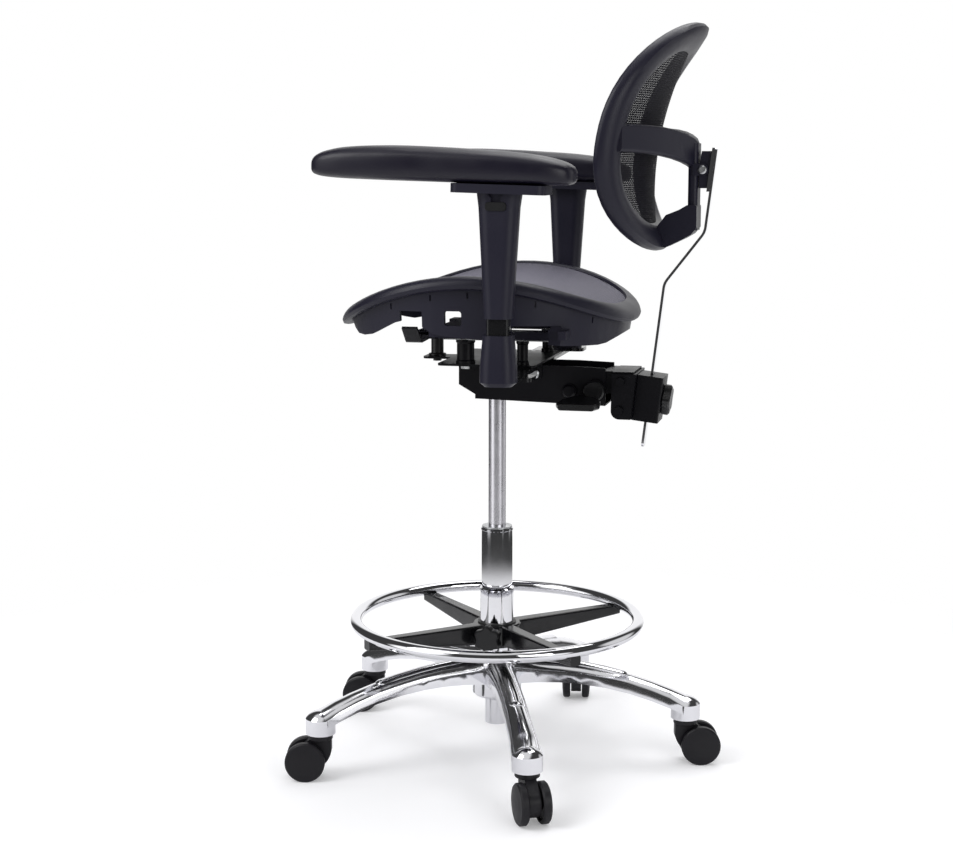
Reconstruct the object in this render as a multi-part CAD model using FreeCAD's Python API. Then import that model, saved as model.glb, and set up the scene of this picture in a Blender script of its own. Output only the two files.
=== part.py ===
import FreeCAD
import Part
import math
import os

from FreeCAD import Placement, Rotation, Vector

# A tall task chair with a foot ring, in millimetres. The origin is on the floor under the gas column,
# +Z is up, the sitter faces -Y and the sitter's left hand is at +X.

# General clearances
RUN_FIT = 0.05          # radial gap of a shaft that turns in its hole
SLIDE_GAP = 0.3         # gap round pieces that slide
SEAT_GAP = 0.2          # gap between faces that only rest on each other
SOFT_GAP = 0.3          # gap round a woven sheet

# Five-arm base
ARM_COUNT = 5
BASE_TURN = 93.0        # direction of the rear arm, in degrees from +X
STEM_CIRCLE = 309.0     # radius on which the caster stems stand
BOSS_WIDTH = 46.8
BOSS_BOTTOM = 74.0
HUB_RADIUS = 40.0
HUB_BOTTOM = 97.0
HUB_TOP = 165.0
ARM_CREST = 144.0       # height of the arm's middle line where it is level
ARM_LEVEL = 80.0        # reach up to which it is level
ARM_DROP = 46.0         # fall of the middle line from there to the stem circle
ARM_WALL = 4.5
ARM_SHOULDER = 0.52     # share of the depth below the rounded top
ARM_SECTIONS = [(20, 50, 46), (70, 44, 36), (105, 41, 32.5), (140, 39, 30), (180, 38, 28), (220, 38, 27),
                (255, 40, 27), (285, 43, 27)]
RIB_REACH = 204.0
RIB_WIDTH = 21.0
RIB_RISE = 3.0

# Casters
STEM_RADIUS = 5.5
STEM_GRIP = 28.0        # length of stem held in the base
CASTER_TRAILS = [104.0, 190.0, 280.0, 283.0, 28.0]
CASTER_OFFSET = 24.0
WHEEL_RADIUS = 31.5
WHEEL_WIDTH = 15.0
WHEEL_GAP = 21.0        # space between the two wheels
WEB_WIDTH = 18.0
WEB_RADIUS = 21.0
NECK_RADIUS = 19.0
NECK_HEIGHT = 9.0
NECK_GAP = 0.5
CASTER_AXLE_RADIUS = 4.0

# Column and gas lift
TUBE_BOTTOM = 50.0
TUBE_TAIL_RADIUS = 19.0
TUBE_LOW_RADIUS = 27.0
TUBE_STEP = 276.0
TUBE_TOP = 377.0
TUBE_HIGH_RADIUS = 25.0
TUBE_WALL = 2.5
TUBE_FLOOR = 4.0
CLIP_RECESS = 4.0
GAS_RADIUS = 14.0
GAS_BOTTOM = 275.0
GAS_TOP = 632.0
GAS_WALL = 2.0
GAS_CHAMBER_TOP = 592.0
PISTON_RADIUS = 5.0
PISTON_TOP = 380.0
BUSH_LENGTH = 78.0
BEARING_HEIGHT = 6.0
RELEASE_RADIUS = 4.0
RELEASE_RISE = 5.0
RELEASE_DEPTH = 14.0
RELEASE_TRAVEL = 4.5

# Foot ring
HOOP_RADIUS = 229.5
HOOP_TUBE = 9.5
HOOP_HEIGHT = 224.0
SPOKE_COUNT = 4
SPOKE_TURN = 43.0
SPOKE_TOP = 219.0
SPOKE_ROOT = 186.0
SPOKE_END = 203.0
SPOKE_ROOT_WIDTH = 24.0
SPOKE_END_WIDTH = 18.0
SPOKE_REACH = 237.0
SPOKE_WALL = 4.0
RING_HUB_WALL = 8.0
RING_BUSH_WALL = 4.0
RING_BUSH_LIP = 3.0
RING_KNOB_TURN = -2.0
RING_KNOB_HEIGHT = 204.0
RING_KNOB_RADIUS = 23.0
RING_KNOB_DEPTH = 17.0
RING_BOSS_REACH = 50.0

# Mechanism under the seat
HOUSING_HALF = 45.0
HOUSING_SHEET = 2.5
HOUSING_FRONT = -52.5
HOUSING_REAR = 182.0
HOUSING_TOP = 647.0
HOUSING_LOW = 591.5
HOUSING_REAR_LOW = 586.0
SOCKET_WALL = 6.0
SOCKET_TOP = 625.0
PIVOT_Y = 125.0
PIVOT_Z = 608.0
PIVOT_RADIUS = 6.0
PIVOT_CAP = 11.0
TILT_Y = 70.0
TILT_Z = 634.0
TILT_RADIUS = 5.0
HEIGHT_LEVER_Y = -32.0
HEIGHT_LEVER_Z = 627.0
LOCK_LEVER_Y = 166.0
LOCK_LEVER_Z = 610.0
LEVER_SHAFT = 5.0
LEVER_HUB = 16.0
LEVER_HUB_DEPTH = 16.0
PADDLE_LENGTH = 66.0
PADDLE_BACK = 18.0
PADDLE_FRONT = 50.0
PADDLE_DROP = 14.0
PADDLE_THICK = 11.0
FINGER_WIDTH = 10.0

# Seat carrier
PLATE_BOTTOM = 650.5
PLATE_THICK = 3.5
PLATE_HALF = 116.0
PLATE_FRONT = -70.0
PLATE_REAR = 84.0
TONGUE_FRONT = -118.0
TONGUE_HALF = 22.0
EAR_SHEET = 3.0
EAR_RADIUS = 12.0
SPACER_HEIGHT = 37.0
SPACER_FRONT = (100.0, -28.0, 15.0)
SPACER_REAR = (100.0, 62.0, 10.0)
RAIL_WIDTH = 26.0
RAIL_HEIGHT = 10.0
RAIL_SHEET = 2.5
RAIL_FRONT = -60.0
RAIL_REAR = 110.0
BOLT_RADIUS = 4.0
BOLT_HEAD = 7.5
BOLT_HEAD_HEIGHT = 5.0
TENSION_Y = -99.0
TENSION_RADIUS = 10.0
TENSION_FLANGE = 14.0
TENSION_HEIGHT = 29.0

# Seat
SEAT_HALF_WIDTH = 238.0
SEAT_FRONT = -236.0
SEAT_REAR = 224.0
SEAT_SQUARENESS = 2.6
SEAT_CREST = 796.0
SEAT_CREST_Y = 5.0
SEAT_FALL = 0.00127     # fall of the rim per squared millimetre from its crest
SEAT_RIM_WIDTH = 25.0
SEAT_MESH_DROP = 4.5
SEAT_MESH_SAG = 14.0
SEAT_MESH_THICK = 2.2
SKIRT_INSET = 12.0
SKIRT_WALL = 9.0
SKIRT_LOW = [(-240, 716), (-205, 714), (-180, 700), (-155, 703), (-100, 730), (-74, 728), (-66, 716),
             (-44, 707), (0, 704), (130, 693), (190, 690), (215, 704), (230, 722)]
GUIDE_WALL = 4.0
GUIDE_FRONT = -100.0
GUIDE_REAR = 150.0
BEAM_HEIGHT = 11.0
BEAM_WIDTH = 32.0
BEAM_FRONT_Y = -40.0
SEAT_WINDOW = (-31.0, -5.0, 722.0, 744.0)
RAIL_OPENING = (68.0, 139.0, 670.0, 723.0)
CLIP_TURNS = [-28.7, -12.0, 2.9, 28.4, 52.2]
CLIP_SIZE = (3.0, 9.0)
CLIP_DROP = 28.5        # centre of a clip slot below the rim's top
SLIDE_LEVER_Y = -84.0
SLIDE_LEVER_WIDTH = 24.0
SLIDE_LEVER_X = 128.0
SLIDE_LEVER_REACH = 222.0

# Arms
ARM_POST_X = 270.0
ARM_POST_Y = 62.0
ARM_BAR_THICK = 6.0
ARM_BAR_WIDTH = 40.0
ARM_BAR_INNER = 56.0
ARM_BAR_BEND = 14.0
ARM_TUBE_X = 24.0
ARM_TUBE_Y = 32.0
ARM_TUBE_WALL = 2.5
ARM_TUBE_TOP = 845.0
ARM_SOCKET_BOTTOM = 641.0
ARM_SOCKET_TOP = 715.0
SLEEVE_BOTTOM = 739.0
SLEEVE_TOP = 917.0
SLEEVE_LOW_SIZE = (37.0, 41.0)
SLEEVE_TOP_SIZE = (44.0, 66.0)
ARM_PLATE_THICK = 13.0
ARM_PLATE_SIZE = (72.0, 137.0)
ARM_TOP_TILT = -1.8     # the plate and pad fall a little to the rear, in degrees
PAD_FRONT = -216.0
PAD_REAR = 172.0
PAD_WIDTH = 98.0
PAD_SHIFT = 6.0         # the pad sits this far inward of its post
PAD_SECTIONS = [(0.0, 0.3, 13, 22), (0.022, 0.61, 4.5, 33.5), (0.06, 0.78, 2, 40), (0.135, 0.91, 0, 46),
                (0.3, 1.0, 0, 50), (0.61, 0.99, 0, 48.4), (0.863, 0.91, 0, 42), (0.933, 0.8, 0.4, 36.8),
                (0.975, 0.63, 1.8, 31), (1.0, 0.3, 9, 21)]
TRIGGER_Z = 899.0
TRIGGER_SIZE = (9.0, 30.0, 12.0)
TRIGGER_TRAVEL = 4.0

# Back
BACK_ARM_HALF = 39.5
BACK_ARM_REAR = 226.0
BACK_ARM_TOP = 640.0
BACK_ARM_LOW = 572.0
BACK_BLOCK_FRONT = 192.0
BRACKET_SHEET = 4.0
BRACKET_BOLTS = [(206.0, 625.0), (204.0, 580.0)]
GUIDE_BOX_HALF = 32.0
GUIDE_BOX_DEPTH = 42.0
GUIDE_BOX_HEIGHT = 72.0
BAR_POINTS = [(236.0, 518.0), (267.0, 776.0), (328.0, 855.0), (343.5, 984.0)]
BAR_THICK = 4.0
BAR_WIDTH = 24.0
BAR_BEND = 28.0
BAR_PLATE = (50.0, 917.0, 983.0, 3.0)
BAR_KNOB_RADIUS = 25.0
BAR_KNOB_DEPTH = 13.0
BACK_PIVOT_Y = 324.0
BACK_PIVOT_Z = 950.0
BACK_PIN_RADIUS = 4.0
BLOCK_HALF = 20.0
BLOCK_HALF_HEIGHT = 28.0
BACK_HALF_WIDTH = 210.5
BACK_LOW = 826.5
BACK_HIGH = 1169.0
BACK_SQUARENESS = 2.5
BACK_WRAP_RADIUS = 435.0
BACK_WAIST_Z = 915.0
BACK_WAIST_Y = 234.6
BACK_LEAN_ABOVE = 0.0011
BACK_LEAN_BELOW = 0.00148
BACK_RIM_WIDTH = 42.0
BACK_MESH_SET = 9.0
BACK_MESH_THICK = 2.0
SPINE_HALF = 24.0
SPINE_FRONT = 302.0
SPINE_REAR = 317.0
SPINE_LOW = 858.0
SPINE_HIGH = 990.0
BOW_OUTER_Z = 996.0
BOW_DROP = 25.0          # fall of the bow from the rim to the spine
BOW_HEIGHT = 40.0
BOW_THICK = 15.0

X_AXIS = Vector(1, 0, 0)
Y_AXIS = Vector(0, 1, 0)
Z_AXIS = Vector(0, 0, 1)
PARTS = {}


# Shared forms

def polygon_face(points):
    return Part.Face(Part.makePolygon(points + points[:1]))


def prism_x(outline, low, high):
    face = polygon_face([Vector(low, y, z) for y, z in outline])
    return face.extrude(X_AXIS * (high - low))


def prism_z(outline, low, high):
    face = polygon_face([Vector(x, y, low) for x, y in outline])
    return face.extrude(Z_AXIS * (high - low))


def block(x, y, z):
    """A box from three (low, high) pairs."""
    corner = Vector(x[0], y[0], z[0])
    return Part.makeBox(x[1] - x[0], y[1] - y[0], z[1] - z[0], corner)


def turned(outline):
    """A solid of revolution about Z from (radius, height) points."""
    face = polygon_face([Vector(radius, 0, height) for radius, height in outline])
    return face.revolve(Vector(0, 0, 0), Z_AXIS, 360)


def rod_x(y, z, radius, low, high):
    return Part.makeCylinder(radius, high - low, Vector(low, y, z), X_AXIS)


def rod_z(x, y, radius, low, high):
    return Part.makeCylinder(radius, high - low, Vector(x, y, low), Z_AXIS)


def mirrored(shape):
    return shape.mirror(Vector(0, 0, 0), X_AXIS)


def joined(shapes):
    return shapes[0].fuse(shapes[1:]).removeSplitter()


def moved(shape, place):
    copy = shape.copy()
    copy.Placement = place.multiply(copy.Placement)
    return copy


def shifted(shape, x, y, z):
    return moved(shape, Placement(Vector(x, y, z), Rotation()))


def rounded_along(shape, axis, radius):
    """Rounds every straight edge that runs along an axis."""
    edges = []
    for edge in shape.Edges:
        if isinstance(edge.Curve, Part.Line) and abs(edge.Curve.Direction.dot(axis)) > 0.999:
            edges.append(edge)
    return shape.makeFillet(radius, edges)


def closed_spline(points):
    curve = Part.BSplineCurve()
    curve.interpolate(points, PeriodicFlag=True)
    return Part.Wire(curve.toShape())


def closed_outline(points):
    return Part.makePolygon(points + points[:1])


def rounded_rectangle(centre, across, along, width, length, radius):
    """A wire of four lines and four arcs in the plane of two unit vectors."""
    edges = []
    corners = [(1, 1), (-1, 1), (-1, -1), (1, -1)]
    a = width / 2 - radius
    b = length / 2 - radius
    slope = radius * math.sqrt(0.5)
    for index, (i, j) in enumerate(corners):
        middle = centre + across * (i * a) + along * (j * b)
        side = middle + across * (i * radius)
        end = middle + along * (j * radius)
        bulge = middle + across * (i * slope) + along * (j * slope)
        first, last = (side, end) if index % 2 == 0 else (end, side)
        edges.append(Part.Arc(first, bulge, last).toShape())
        next_i, next_j = corners[(index + 1) % 4]
        next_middle = centre + across * (next_i * a) + along * (next_j * b)
        offset = along * (next_j * radius) if index % 2 == 0 else across * (next_i * radius)
        edges.append(Part.makeLine(last, next_middle + offset))
    return Part.Wire(edges)


def rounded_path(points, radii):
    """Lines along the points, with each inner corner rounded to its radius."""
    edges = []
    start = points[0]
    for before, corner, after, radius in zip(points, points[1:], points[2:], radii):
        to_before = (before - corner).normalize()
        to_after = (after - corner).normalize()
        half = to_before.getAngle(to_after) / 2
        reach = radius / math.tan(half)
        towards = (to_before + to_after).normalize()
        middle = corner + towards * (radius / math.sin(half) - radius)
        last = corner + to_after * reach
        first = corner + to_before * reach
        edges.append(Part.makeLine(start, first))
        edges.append(Part.Arc(first, middle, last).toShape())
        start = last
    edges.append(Part.makeLine(start, points[-1]))
    return edges


def bent_strip(points, thick, bend, first_axis, second_axis, width_vector):
    """A flat bar of one thickness, bent along a path of (a, b) points and extruded to its width."""
    path = [first_axis * a + second_axis * b for a, b in points]
    normal = first_axis.cross(second_axis)
    runs = [(end - start).normalize() for start, end in zip(path, path[1:])]
    lefts = [normal.cross(run) for run in runs]
    turns = [first.cross(second).dot(normal) for first, second in zip(runs, runs[1:])]
    sides = []
    for side in (1, -1):
        line = [path[0] + lefts[0] * (side * thick / 2)]
        for corner, one, two in zip(path[1:], lefts, lefts[1:]):
            line.append(corner + (one + two) * (side * thick / 2 / (1 + one.dot(two))))
        line.append(path[-1] + lefts[-1] * (side * thick / 2))
        radii = [bend - thick / 2 if turn * side > 0 else bend + thick / 2 for turn in turns]
        sides.append((line, radii))
    left, left_radii = sides[0]
    right, right_radii = sides[1]
    edges = rounded_path(left, left_radii)
    edges.append(Part.makeLine(left[-1], right[-1]))
    edges += rounded_path(right[::-1], right_radii[::-1])
    edges.append(Part.makeLine(right[0], left[0]))
    return Part.Face(Part.Wire(edges)).extrude(width_vector)


def crown_middle(half, rise):
    """Half-way point of a shallow crown, as its distance from the axis and its drop below the top."""
    bow = (half ** 2 + rise ** 2) / (2 * rise)
    sweep = math.asin(half / bow) / 2
    return bow * math.sin(sweep), bow - bow * math.cos(sweep)


def lobed_knob(radius, lobes, depth, stud_radius, stud_length):
    """A hand knob standing on Z = 0 with its stud reaching down the axis."""
    steps = 6 * lobes
    sections = []
    for height, size in ((0.0, 0.92), (0.12, 1.0), (0.8, 1.0), (1.0, 0.88)):
        outline = []
        for step in range(steps):
            angle = 2 * math.pi * step / steps
            reach = radius * size * (0.9 + 0.1 * math.cos(lobes * angle))
            outline.append(Vector(reach * math.cos(angle), reach * math.sin(angle), depth * height))
        sections.append(closed_spline(outline))
    body = Part.makeLoft(sections, True, True)
    stud = Part.makeCylinder(stud_radius, stud_length + 1, Vector(0, 0, -stud_length))
    return joined([body, stud])


def hex_bolt(head_radius, head_height, shank_radius, shank_length):
    """A hexagon-headed bolt: head below Z = 0, shank above."""
    corners = [math.radians(60 * index) for index in range(6)]
    outline = [(head_radius * math.cos(a), head_radius * math.sin(a)) for a in corners]
    head = prism_z(outline, -head_height, 0)
    return joined([head, Part.makeCylinder(shank_radius, shank_length)])


# Five-arm base

def arm_angle(index):
    return BASE_TURN + 360.0 / ARM_COUNT * index


def arm_middle(reach):
    run = STEM_CIRCLE - ARM_LEVEL
    bend = (run ** 2 + ARM_DROP ** 2) / (2 * ARM_DROP)
    out = max(0.0, reach - ARM_LEVEL)
    return ARM_CREST - bend + math.sqrt(bend ** 2 - out ** 2)


def dome_section(reach, width, bottom, depth):
    """An arm section at one reach: flat below, upright sides and a rounded top."""
    half = width / 2
    shoulder = bottom + depth * ARM_SHOULDER
    low_left = Vector(reach, -half, bottom)
    low_right = Vector(reach, half, bottom)
    right = Vector(reach, half, shoulder)
    left = Vector(reach, -half, shoulder)
    crown = Part.Arc(right, Vector(reach, 0, bottom + depth), left).toShape()
    lines = [Part.makeLine(low_left, low_right), Part.makeLine(low_right, right), crown,
             Part.makeLine(left, low_left)]
    return Part.Wire(lines)


def dome_end(reach, width, low, bottom, depth):
    """The same section turned about a vertical axis, from a lower foot, as the end of an arm."""
    half = width / 2
    shoulder = bottom + depth * ARM_SHOULDER
    top = bottom + depth
    out, drop = crown_middle(half, top - shoulder)
    middle = Vector(out, 0, top - drop)
    points = [Vector(0, 0, low), Vector(half, 0, low), Vector(half, 0, shoulder), Vector(0, 0, top)]
    edges = [Part.makeLine(points[0], points[1]), Part.makeLine(points[1], points[2]),
             Part.Arc(points[2], middle, points[3]).toShape(), Part.makeLine(points[3], points[0])]
    return shifted(Part.Face(Part.Wire(edges)).revolve(Vector(0, 0, 0), Z_AXIS, 360), reach, 0, 0)


def base_arm():
    """One arm along +X: a rounded channel that widens into the caster boss."""
    end_depth = ARM_SECTIONS[-1][2]
    sizes = ARM_SECTIONS + [(STEM_CIRCLE, BOSS_WIDTH, end_depth)]
    sections = []
    for reach, width, depth in sizes:
        sections.append(dome_section(reach, width, arm_middle(reach) - depth / 2, depth))
    beam = Part.makeLoft(sections, True, True)
    tip_bottom = arm_middle(STEM_CIRCLE) - end_depth / 2
    tip = dome_end(STEM_CIRCLE, BOSS_WIDTH, BOSS_BOTTOM, tip_bottom, end_depth)
    rib_sections = []
    for reach in [reach for reach, _, _ in ARM_SECTIONS if reach < RIB_REACH - 5] + [RIB_REACH]:
        top = arm_middle(reach) + arm_depth(reach) / 2 + RIB_RISE
        rib_sections.append(dome_section(reach, RIB_WIDTH, top - RIB_WIDTH / 2, RIB_WIDTH / 2))
    rib = Part.makeLoft(rib_sections, True, True)
    rib_top = arm_middle(RIB_REACH) + arm_depth(RIB_REACH) / 2 + RIB_RISE
    rib_low = rib_top - RIB_WIDTH / 2
    rib_end = dome_end(RIB_REACH, RIB_WIDTH, rib_low, rib_low, RIB_WIDTH / 2)
    channel_sections = []
    for reach, width, depth in ARM_SECTIONS[1:]:
        bottom = arm_middle(reach) - depth / 2 - 1
        inner = dome_section(reach, width - 2 * ARM_WALL, bottom, depth + 1 - ARM_WALL)
        channel_sections.append(inner)
    channel = Part.makeLoft(channel_sections, True, True)
    stiffener = block((0, STEM_CIRCLE), (-ARM_WALL / 2, ARM_WALL / 2), (BOSS_BOTTOM, HUB_TOP))
    body = joined([beam, tip, rib, rib_end])
    return body.cut(channel.cut(stiffener))


def arm_depth(reach):
    for (near, _, near_depth), (far, _, far_depth) in zip(ARM_SECTIONS, ARM_SECTIONS[1:]):
        if near <= reach <= far:
            return near_depth + (far_depth - near_depth) * (reach - near) / (far - near)
    return ARM_SECTIONS[-1][2]


def column_taper(gap):
    """The tapered seat of the column in the hub, opened by a gap, and room for its shoulder above."""
    shoulder = TUBE_LOW_RADIUS + SEAT_GAP
    above = HUB_TOP + 12
    return [(0, HUB_BOTTOM - 1), (TUBE_HIGH_RADIUS - 1.5 + gap, HUB_BOTTOM - 1),
            (TUBE_HIGH_RADIUS + gap, HUB_TOP), (shoulder, HUB_TOP), (shoulder, above), (0, above)]


def star_base():
    bevel = 5.0
    hub = turned([(0, HUB_BOTTOM), (HUB_RADIUS - bevel, HUB_BOTTOM), (HUB_RADIUS, HUB_BOTTOM + bevel),
                  (HUB_RADIUS, HUB_TOP - 2 * bevel), (HUB_RADIUS - bevel, HUB_TOP), (0, HUB_TOP)])
    arm = base_arm()
    pieces = [hub]
    holes = [turned(column_taper(RUN_FIT))]
    for index in range(ARM_COUNT):
        place = Placement(Vector(0, 0, 0), Rotation(Z_AXIS, arm_angle(index)))
        pieces.append(moved(arm, place))
        hole = rod_z(STEM_CIRCLE, 0, STEM_RADIUS + RUN_FIT, BOSS_BOTTOM - 1, BOSS_BOTTOM + STEM_GRIP)
        holes.append(moved(hole, place))
    body = joined(pieces)
    for hole in holes:
        body = body.cut(hole)
    return body


# Casters

def caster_place(index):
    angle = math.radians(arm_angle(index))
    foot = Vector(STEM_CIRCLE * math.cos(angle), STEM_CIRCLE * math.sin(angle), 0)
    return Placement(foot, Rotation(Z_AXIS, CASTER_TRAILS[index]))


NECK_TOP = BOSS_BOTTOM - NECK_GAP
NECK_BOTTOM = NECK_TOP - NECK_HEIGHT
STEM_LOW = NECK_BOTTOM - 12.0


def caster_stem():
    return rod_z(0, 0, STEM_RADIUS, STEM_LOW, BOSS_BOTTOM + STEM_GRIP)


def caster_hood():
    """Neck round the stem, web between the wheels and the axle pressed through it."""
    front = -NECK_RADIUS + 2
    rim = [Vector(CASTER_OFFSET + WEB_RADIUS * math.cos(math.radians(a)), -WEB_WIDTH / 2,
                  WHEEL_RADIUS + WEB_RADIUS * math.sin(math.radians(a))) for a in (230, 325, 60)]
    high_front = Vector(front, -WEB_WIDTH / 2, NECK_BOTTOM + 1)
    low_front = Vector(front, -WEB_WIDTH / 2, WHEEL_RADIUS + WEB_RADIUS * 0.7)
    high_back = Vector(-front, -WEB_WIDTH / 2, NECK_BOTTOM + 1)
    belly = (low_front + rim[0]) * 0.5 + Vector(-3, 0, -5)
    edges = [Part.makeLine(high_front, low_front), Part.Arc(low_front, belly, rim[0]).toShape(),
             Part.Arc(rim[0], rim[1], rim[2]).toShape(), Part.makeLine(rim[2], high_back),
             Part.makeLine(high_back, high_front)]
    web = Part.Face(Part.Wire(edges)).extrude(Y_AXIS * WEB_WIDTH)
    bevel = 1.5
    neck = turned([(0, NECK_BOTTOM), (NECK_RADIUS - bevel, NECK_BOTTOM), (NECK_RADIUS, NECK_BOTTOM + bevel),
                   (NECK_RADIUS, NECK_TOP - bevel), (NECK_RADIUS - bevel, NECK_TOP), (0, NECK_TOP)])
    axle_half = WHEEL_GAP / 2 + WHEEL_WIDTH - 1.6
    axle = Part.makeCylinder(CASTER_AXLE_RADIUS, 2 * axle_half,
                             Vector(CASTER_OFFSET, -axle_half, WHEEL_RADIUS), Y_AXIS)
    bore = rod_z(0, 0, STEM_RADIUS + RUN_FIT, STEM_LOW - SEAT_GAP, NECK_TOP + 1)
    return joined([web, neck, axle]).cut(bore)


def caster_wheel(side):
    """A wheel with a domed blind outer face and a hollow inner face, on one side of the web."""
    inner = WHEEL_GAP / 2
    outer = inner + WHEEL_WIDTH
    bore = CASTER_AXLE_RADIUS + RUN_FIT
    bevel = 2.2
    hub = bore + 4
    recess = inner + 4
    rim = WHEEL_RADIUS - 5
    profile = [(0, outer - 1.4), (bore, outer - 1.4), (bore, inner), (hub, inner), (hub, recess),
               (rim, recess), (rim, inner), (WHEEL_RADIUS - bevel, inner), (WHEEL_RADIUS, inner + bevel),
               (WHEEL_RADIUS, outer - 2 * bevel), (WHEEL_RADIUS - bevel, outer - bevel)]
    points = [Vector(radius, along, 0) for radius, along in profile]
    out, drop = crown_middle(WHEEL_RADIUS - bevel, bevel)
    points += [Vector(out, outer - drop, 0), Vector(0, outer, 0)]
    wheel = Part.Face(closed_outline(points)).revolve(Vector(0, 0, 0), Y_AXIS, 360)
    if side < 0:
        wheel = moved(wheel, Placement(Vector(0, 0, 0), Rotation(X_AXIS, 180)))
    return shifted(wheel, CASTER_OFFSET, 0, WHEEL_RADIUS)


# Column and gas lift

def column_tube():
    lip = 1.0
    tail_inner = TUBE_TAIL_RADIUS - TUBE_WALL
    bore = TUBE_HIGH_RADIUS - TUBE_WALL
    floor_low = TUBE_BOTTOM + CLIP_RECESS
    floor_high = floor_low + TUBE_FLOOR
    taper_low = TUBE_HIGH_RADIUS - 1.5
    outline = [(tail_inner, TUBE_BOTTOM), (TUBE_TAIL_RADIUS, TUBE_BOTTOM), (TUBE_TAIL_RADIUS, HUB_BOTTOM - 6),
               (taper_low, HUB_BOTTOM - 1), (TUBE_HIGH_RADIUS, HUB_TOP), (TUBE_HIGH_RADIUS, HUB_TOP + 1),
               (TUBE_LOW_RADIUS, HUB_TOP + 1), (TUBE_LOW_RADIUS, TUBE_STEP - 3),
               (TUBE_LOW_RADIUS + lip, TUBE_STEP - 2), (TUBE_LOW_RADIUS + lip, TUBE_STEP),
               (TUBE_HIGH_RADIUS, TUBE_STEP + 2), (TUBE_HIGH_RADIUS, TUBE_TOP - 5),
               (TUBE_HIGH_RADIUS + lip, TUBE_TOP - 4), (TUBE_HIGH_RADIUS + lip, TUBE_TOP - 1),
               (TUBE_HIGH_RADIUS, TUBE_TOP), (bore, TUBE_TOP), (bore, HUB_BOTTOM + 4),
               (tail_inner, HUB_BOTTOM - 4), (tail_inner, floor_high), (PISTON_RADIUS + RUN_FIT, floor_high),
               (PISTON_RADIUS + RUN_FIT, floor_low), (tail_inner, floor_low)]
    return turned(outline)


def column_guide_bush():
    bore = GAS_RADIUS + RUN_FIT
    outer = TUBE_HIGH_RADIUS - TUBE_WALL - RUN_FIT
    flange = TUBE_HIGH_RADIUS - 0.8
    low = TUBE_TOP - BUSH_LENGTH
    return turned([(bore, low), (outer, low), (outer, TUBE_TOP), (flange, TUBE_TOP), (flange, TUBE_TOP + 2.5),
                   (bore, TUBE_TOP + 2.5)])


BEARING_LOW = TUBE_BOTTOM + CLIP_RECESS + TUBE_FLOOR


def thrust_bearing():
    """Two washers and the ball cage between them, as one ring."""
    outer = TUBE_TAIL_RADIUS - TUBE_WALL - 1.0
    inner = PISTON_RADIUS + 0.6
    washer = BEARING_HEIGHT / 4
    low = BEARING_LOW
    high = low + BEARING_HEIGHT
    return turned([(inner, low), (outer, low), (outer, low + washer), (outer - 2, low + washer),
                   (outer - 2, high - washer), (outer, high - washer), (outer, high), (inner, high)])


def piston_rod():
    shoulder = PISTON_RADIUS + 4
    seat = BEARING_LOW + BEARING_HEIGHT + SEAT_GAP
    groove_high = TUBE_BOTTOM + CLIP_RECESS - SEAT_GAP
    groove_low = groove_high - 1.6
    neck = PISTON_RADIUS - 1.2
    piston = GAS_RADIUS - GAS_WALL - SLIDE_GAP
    low = TUBE_BOTTOM + 0.5
    return turned([(0, low), (PISTON_RADIUS, low), (PISTON_RADIUS, groove_low), (neck, groove_low),
                   (neck, groove_high), (PISTON_RADIUS, groove_high), (PISTON_RADIUS, seat), (shoulder, seat),
                   (shoulder, seat + 4), (PISTON_RADIUS, seat + 4), (PISTON_RADIUS, PISTON_TOP - 12),
                   (piston, PISTON_TOP - 12), (piston, PISTON_TOP), (0, PISTON_TOP)])


def column_clip():
    groove_high = TUBE_BOTTOM + CLIP_RECESS - SEAT_GAP
    inner = PISTON_RADIUS - 1.2 + RUN_FIT
    ring = turned([(inner, groove_high - 1.5), (PISTON_RADIUS + 5, groove_high - 1.5),
                   (PISTON_RADIUS + 5, groove_high - 0.1), (inner, groove_high - 0.1)])
    mouth = block((0, 2 * PISTON_RADIUS + 5), (-2.5, 2.5), (TUBE_BOTTOM, groove_high))
    return ring.cut(mouth)


def gas_cylinder():
    chamber = GAS_RADIUS - GAS_WALL
    cap = 8.0
    button = RELEASE_RADIUS + RUN_FIT
    well = GAS_TOP - RELEASE_DEPTH - RELEASE_TRAVEL
    taper = GAS_RADIUS - 0.8
    return turned([(PISTON_RADIUS + RUN_FIT, GAS_BOTTOM), (GAS_RADIUS - 1, GAS_BOTTOM),
                   (GAS_RADIUS, GAS_BOTTOM + 1), (GAS_RADIUS, GAS_CHAMBER_TOP), (taper, GAS_TOP - 1),
                   (taper - 1, GAS_TOP), (button, GAS_TOP), (button, well), (0, well), (0, GAS_CHAMBER_TOP),
                   (chamber, GAS_CHAMBER_TOP), (chamber, GAS_BOTTOM + cap),
                   (PISTON_RADIUS + RUN_FIT, GAS_BOTTOM + cap)])


def release_pin():
    crown = 1.0
    low = GAS_TOP - RELEASE_DEPTH
    high = GAS_TOP + RELEASE_RISE
    return turned([(0, low), (RELEASE_RADIUS, low), (RELEASE_RADIUS, high - crown),
                   (RELEASE_RADIUS - crown, high), (0, high)])


# Foot ring

RING_BORE = TUBE_LOW_RADIUS + 2 * RUN_FIT
RING_HUB_BORE = RING_BORE + RING_BUSH_WALL + RUN_FIT
RING_HUB_OUTER = RING_HUB_BORE + RING_HUB_WALL


def foot_ring_bush():
    outer = RING_HUB_BORE - RUN_FIT
    lip = outer + RING_HUB_WALL * 0.6
    low = SPOKE_ROOT - RING_BUSH_LIP - SEAT_GAP
    return turned([(RING_BORE, low), (lip, low), (lip, low + RING_BUSH_LIP), (outer, low + RING_BUSH_LIP),
                   (outer, SPOKE_TOP + 2), (RING_BORE, SPOKE_TOP + 2)])


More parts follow.
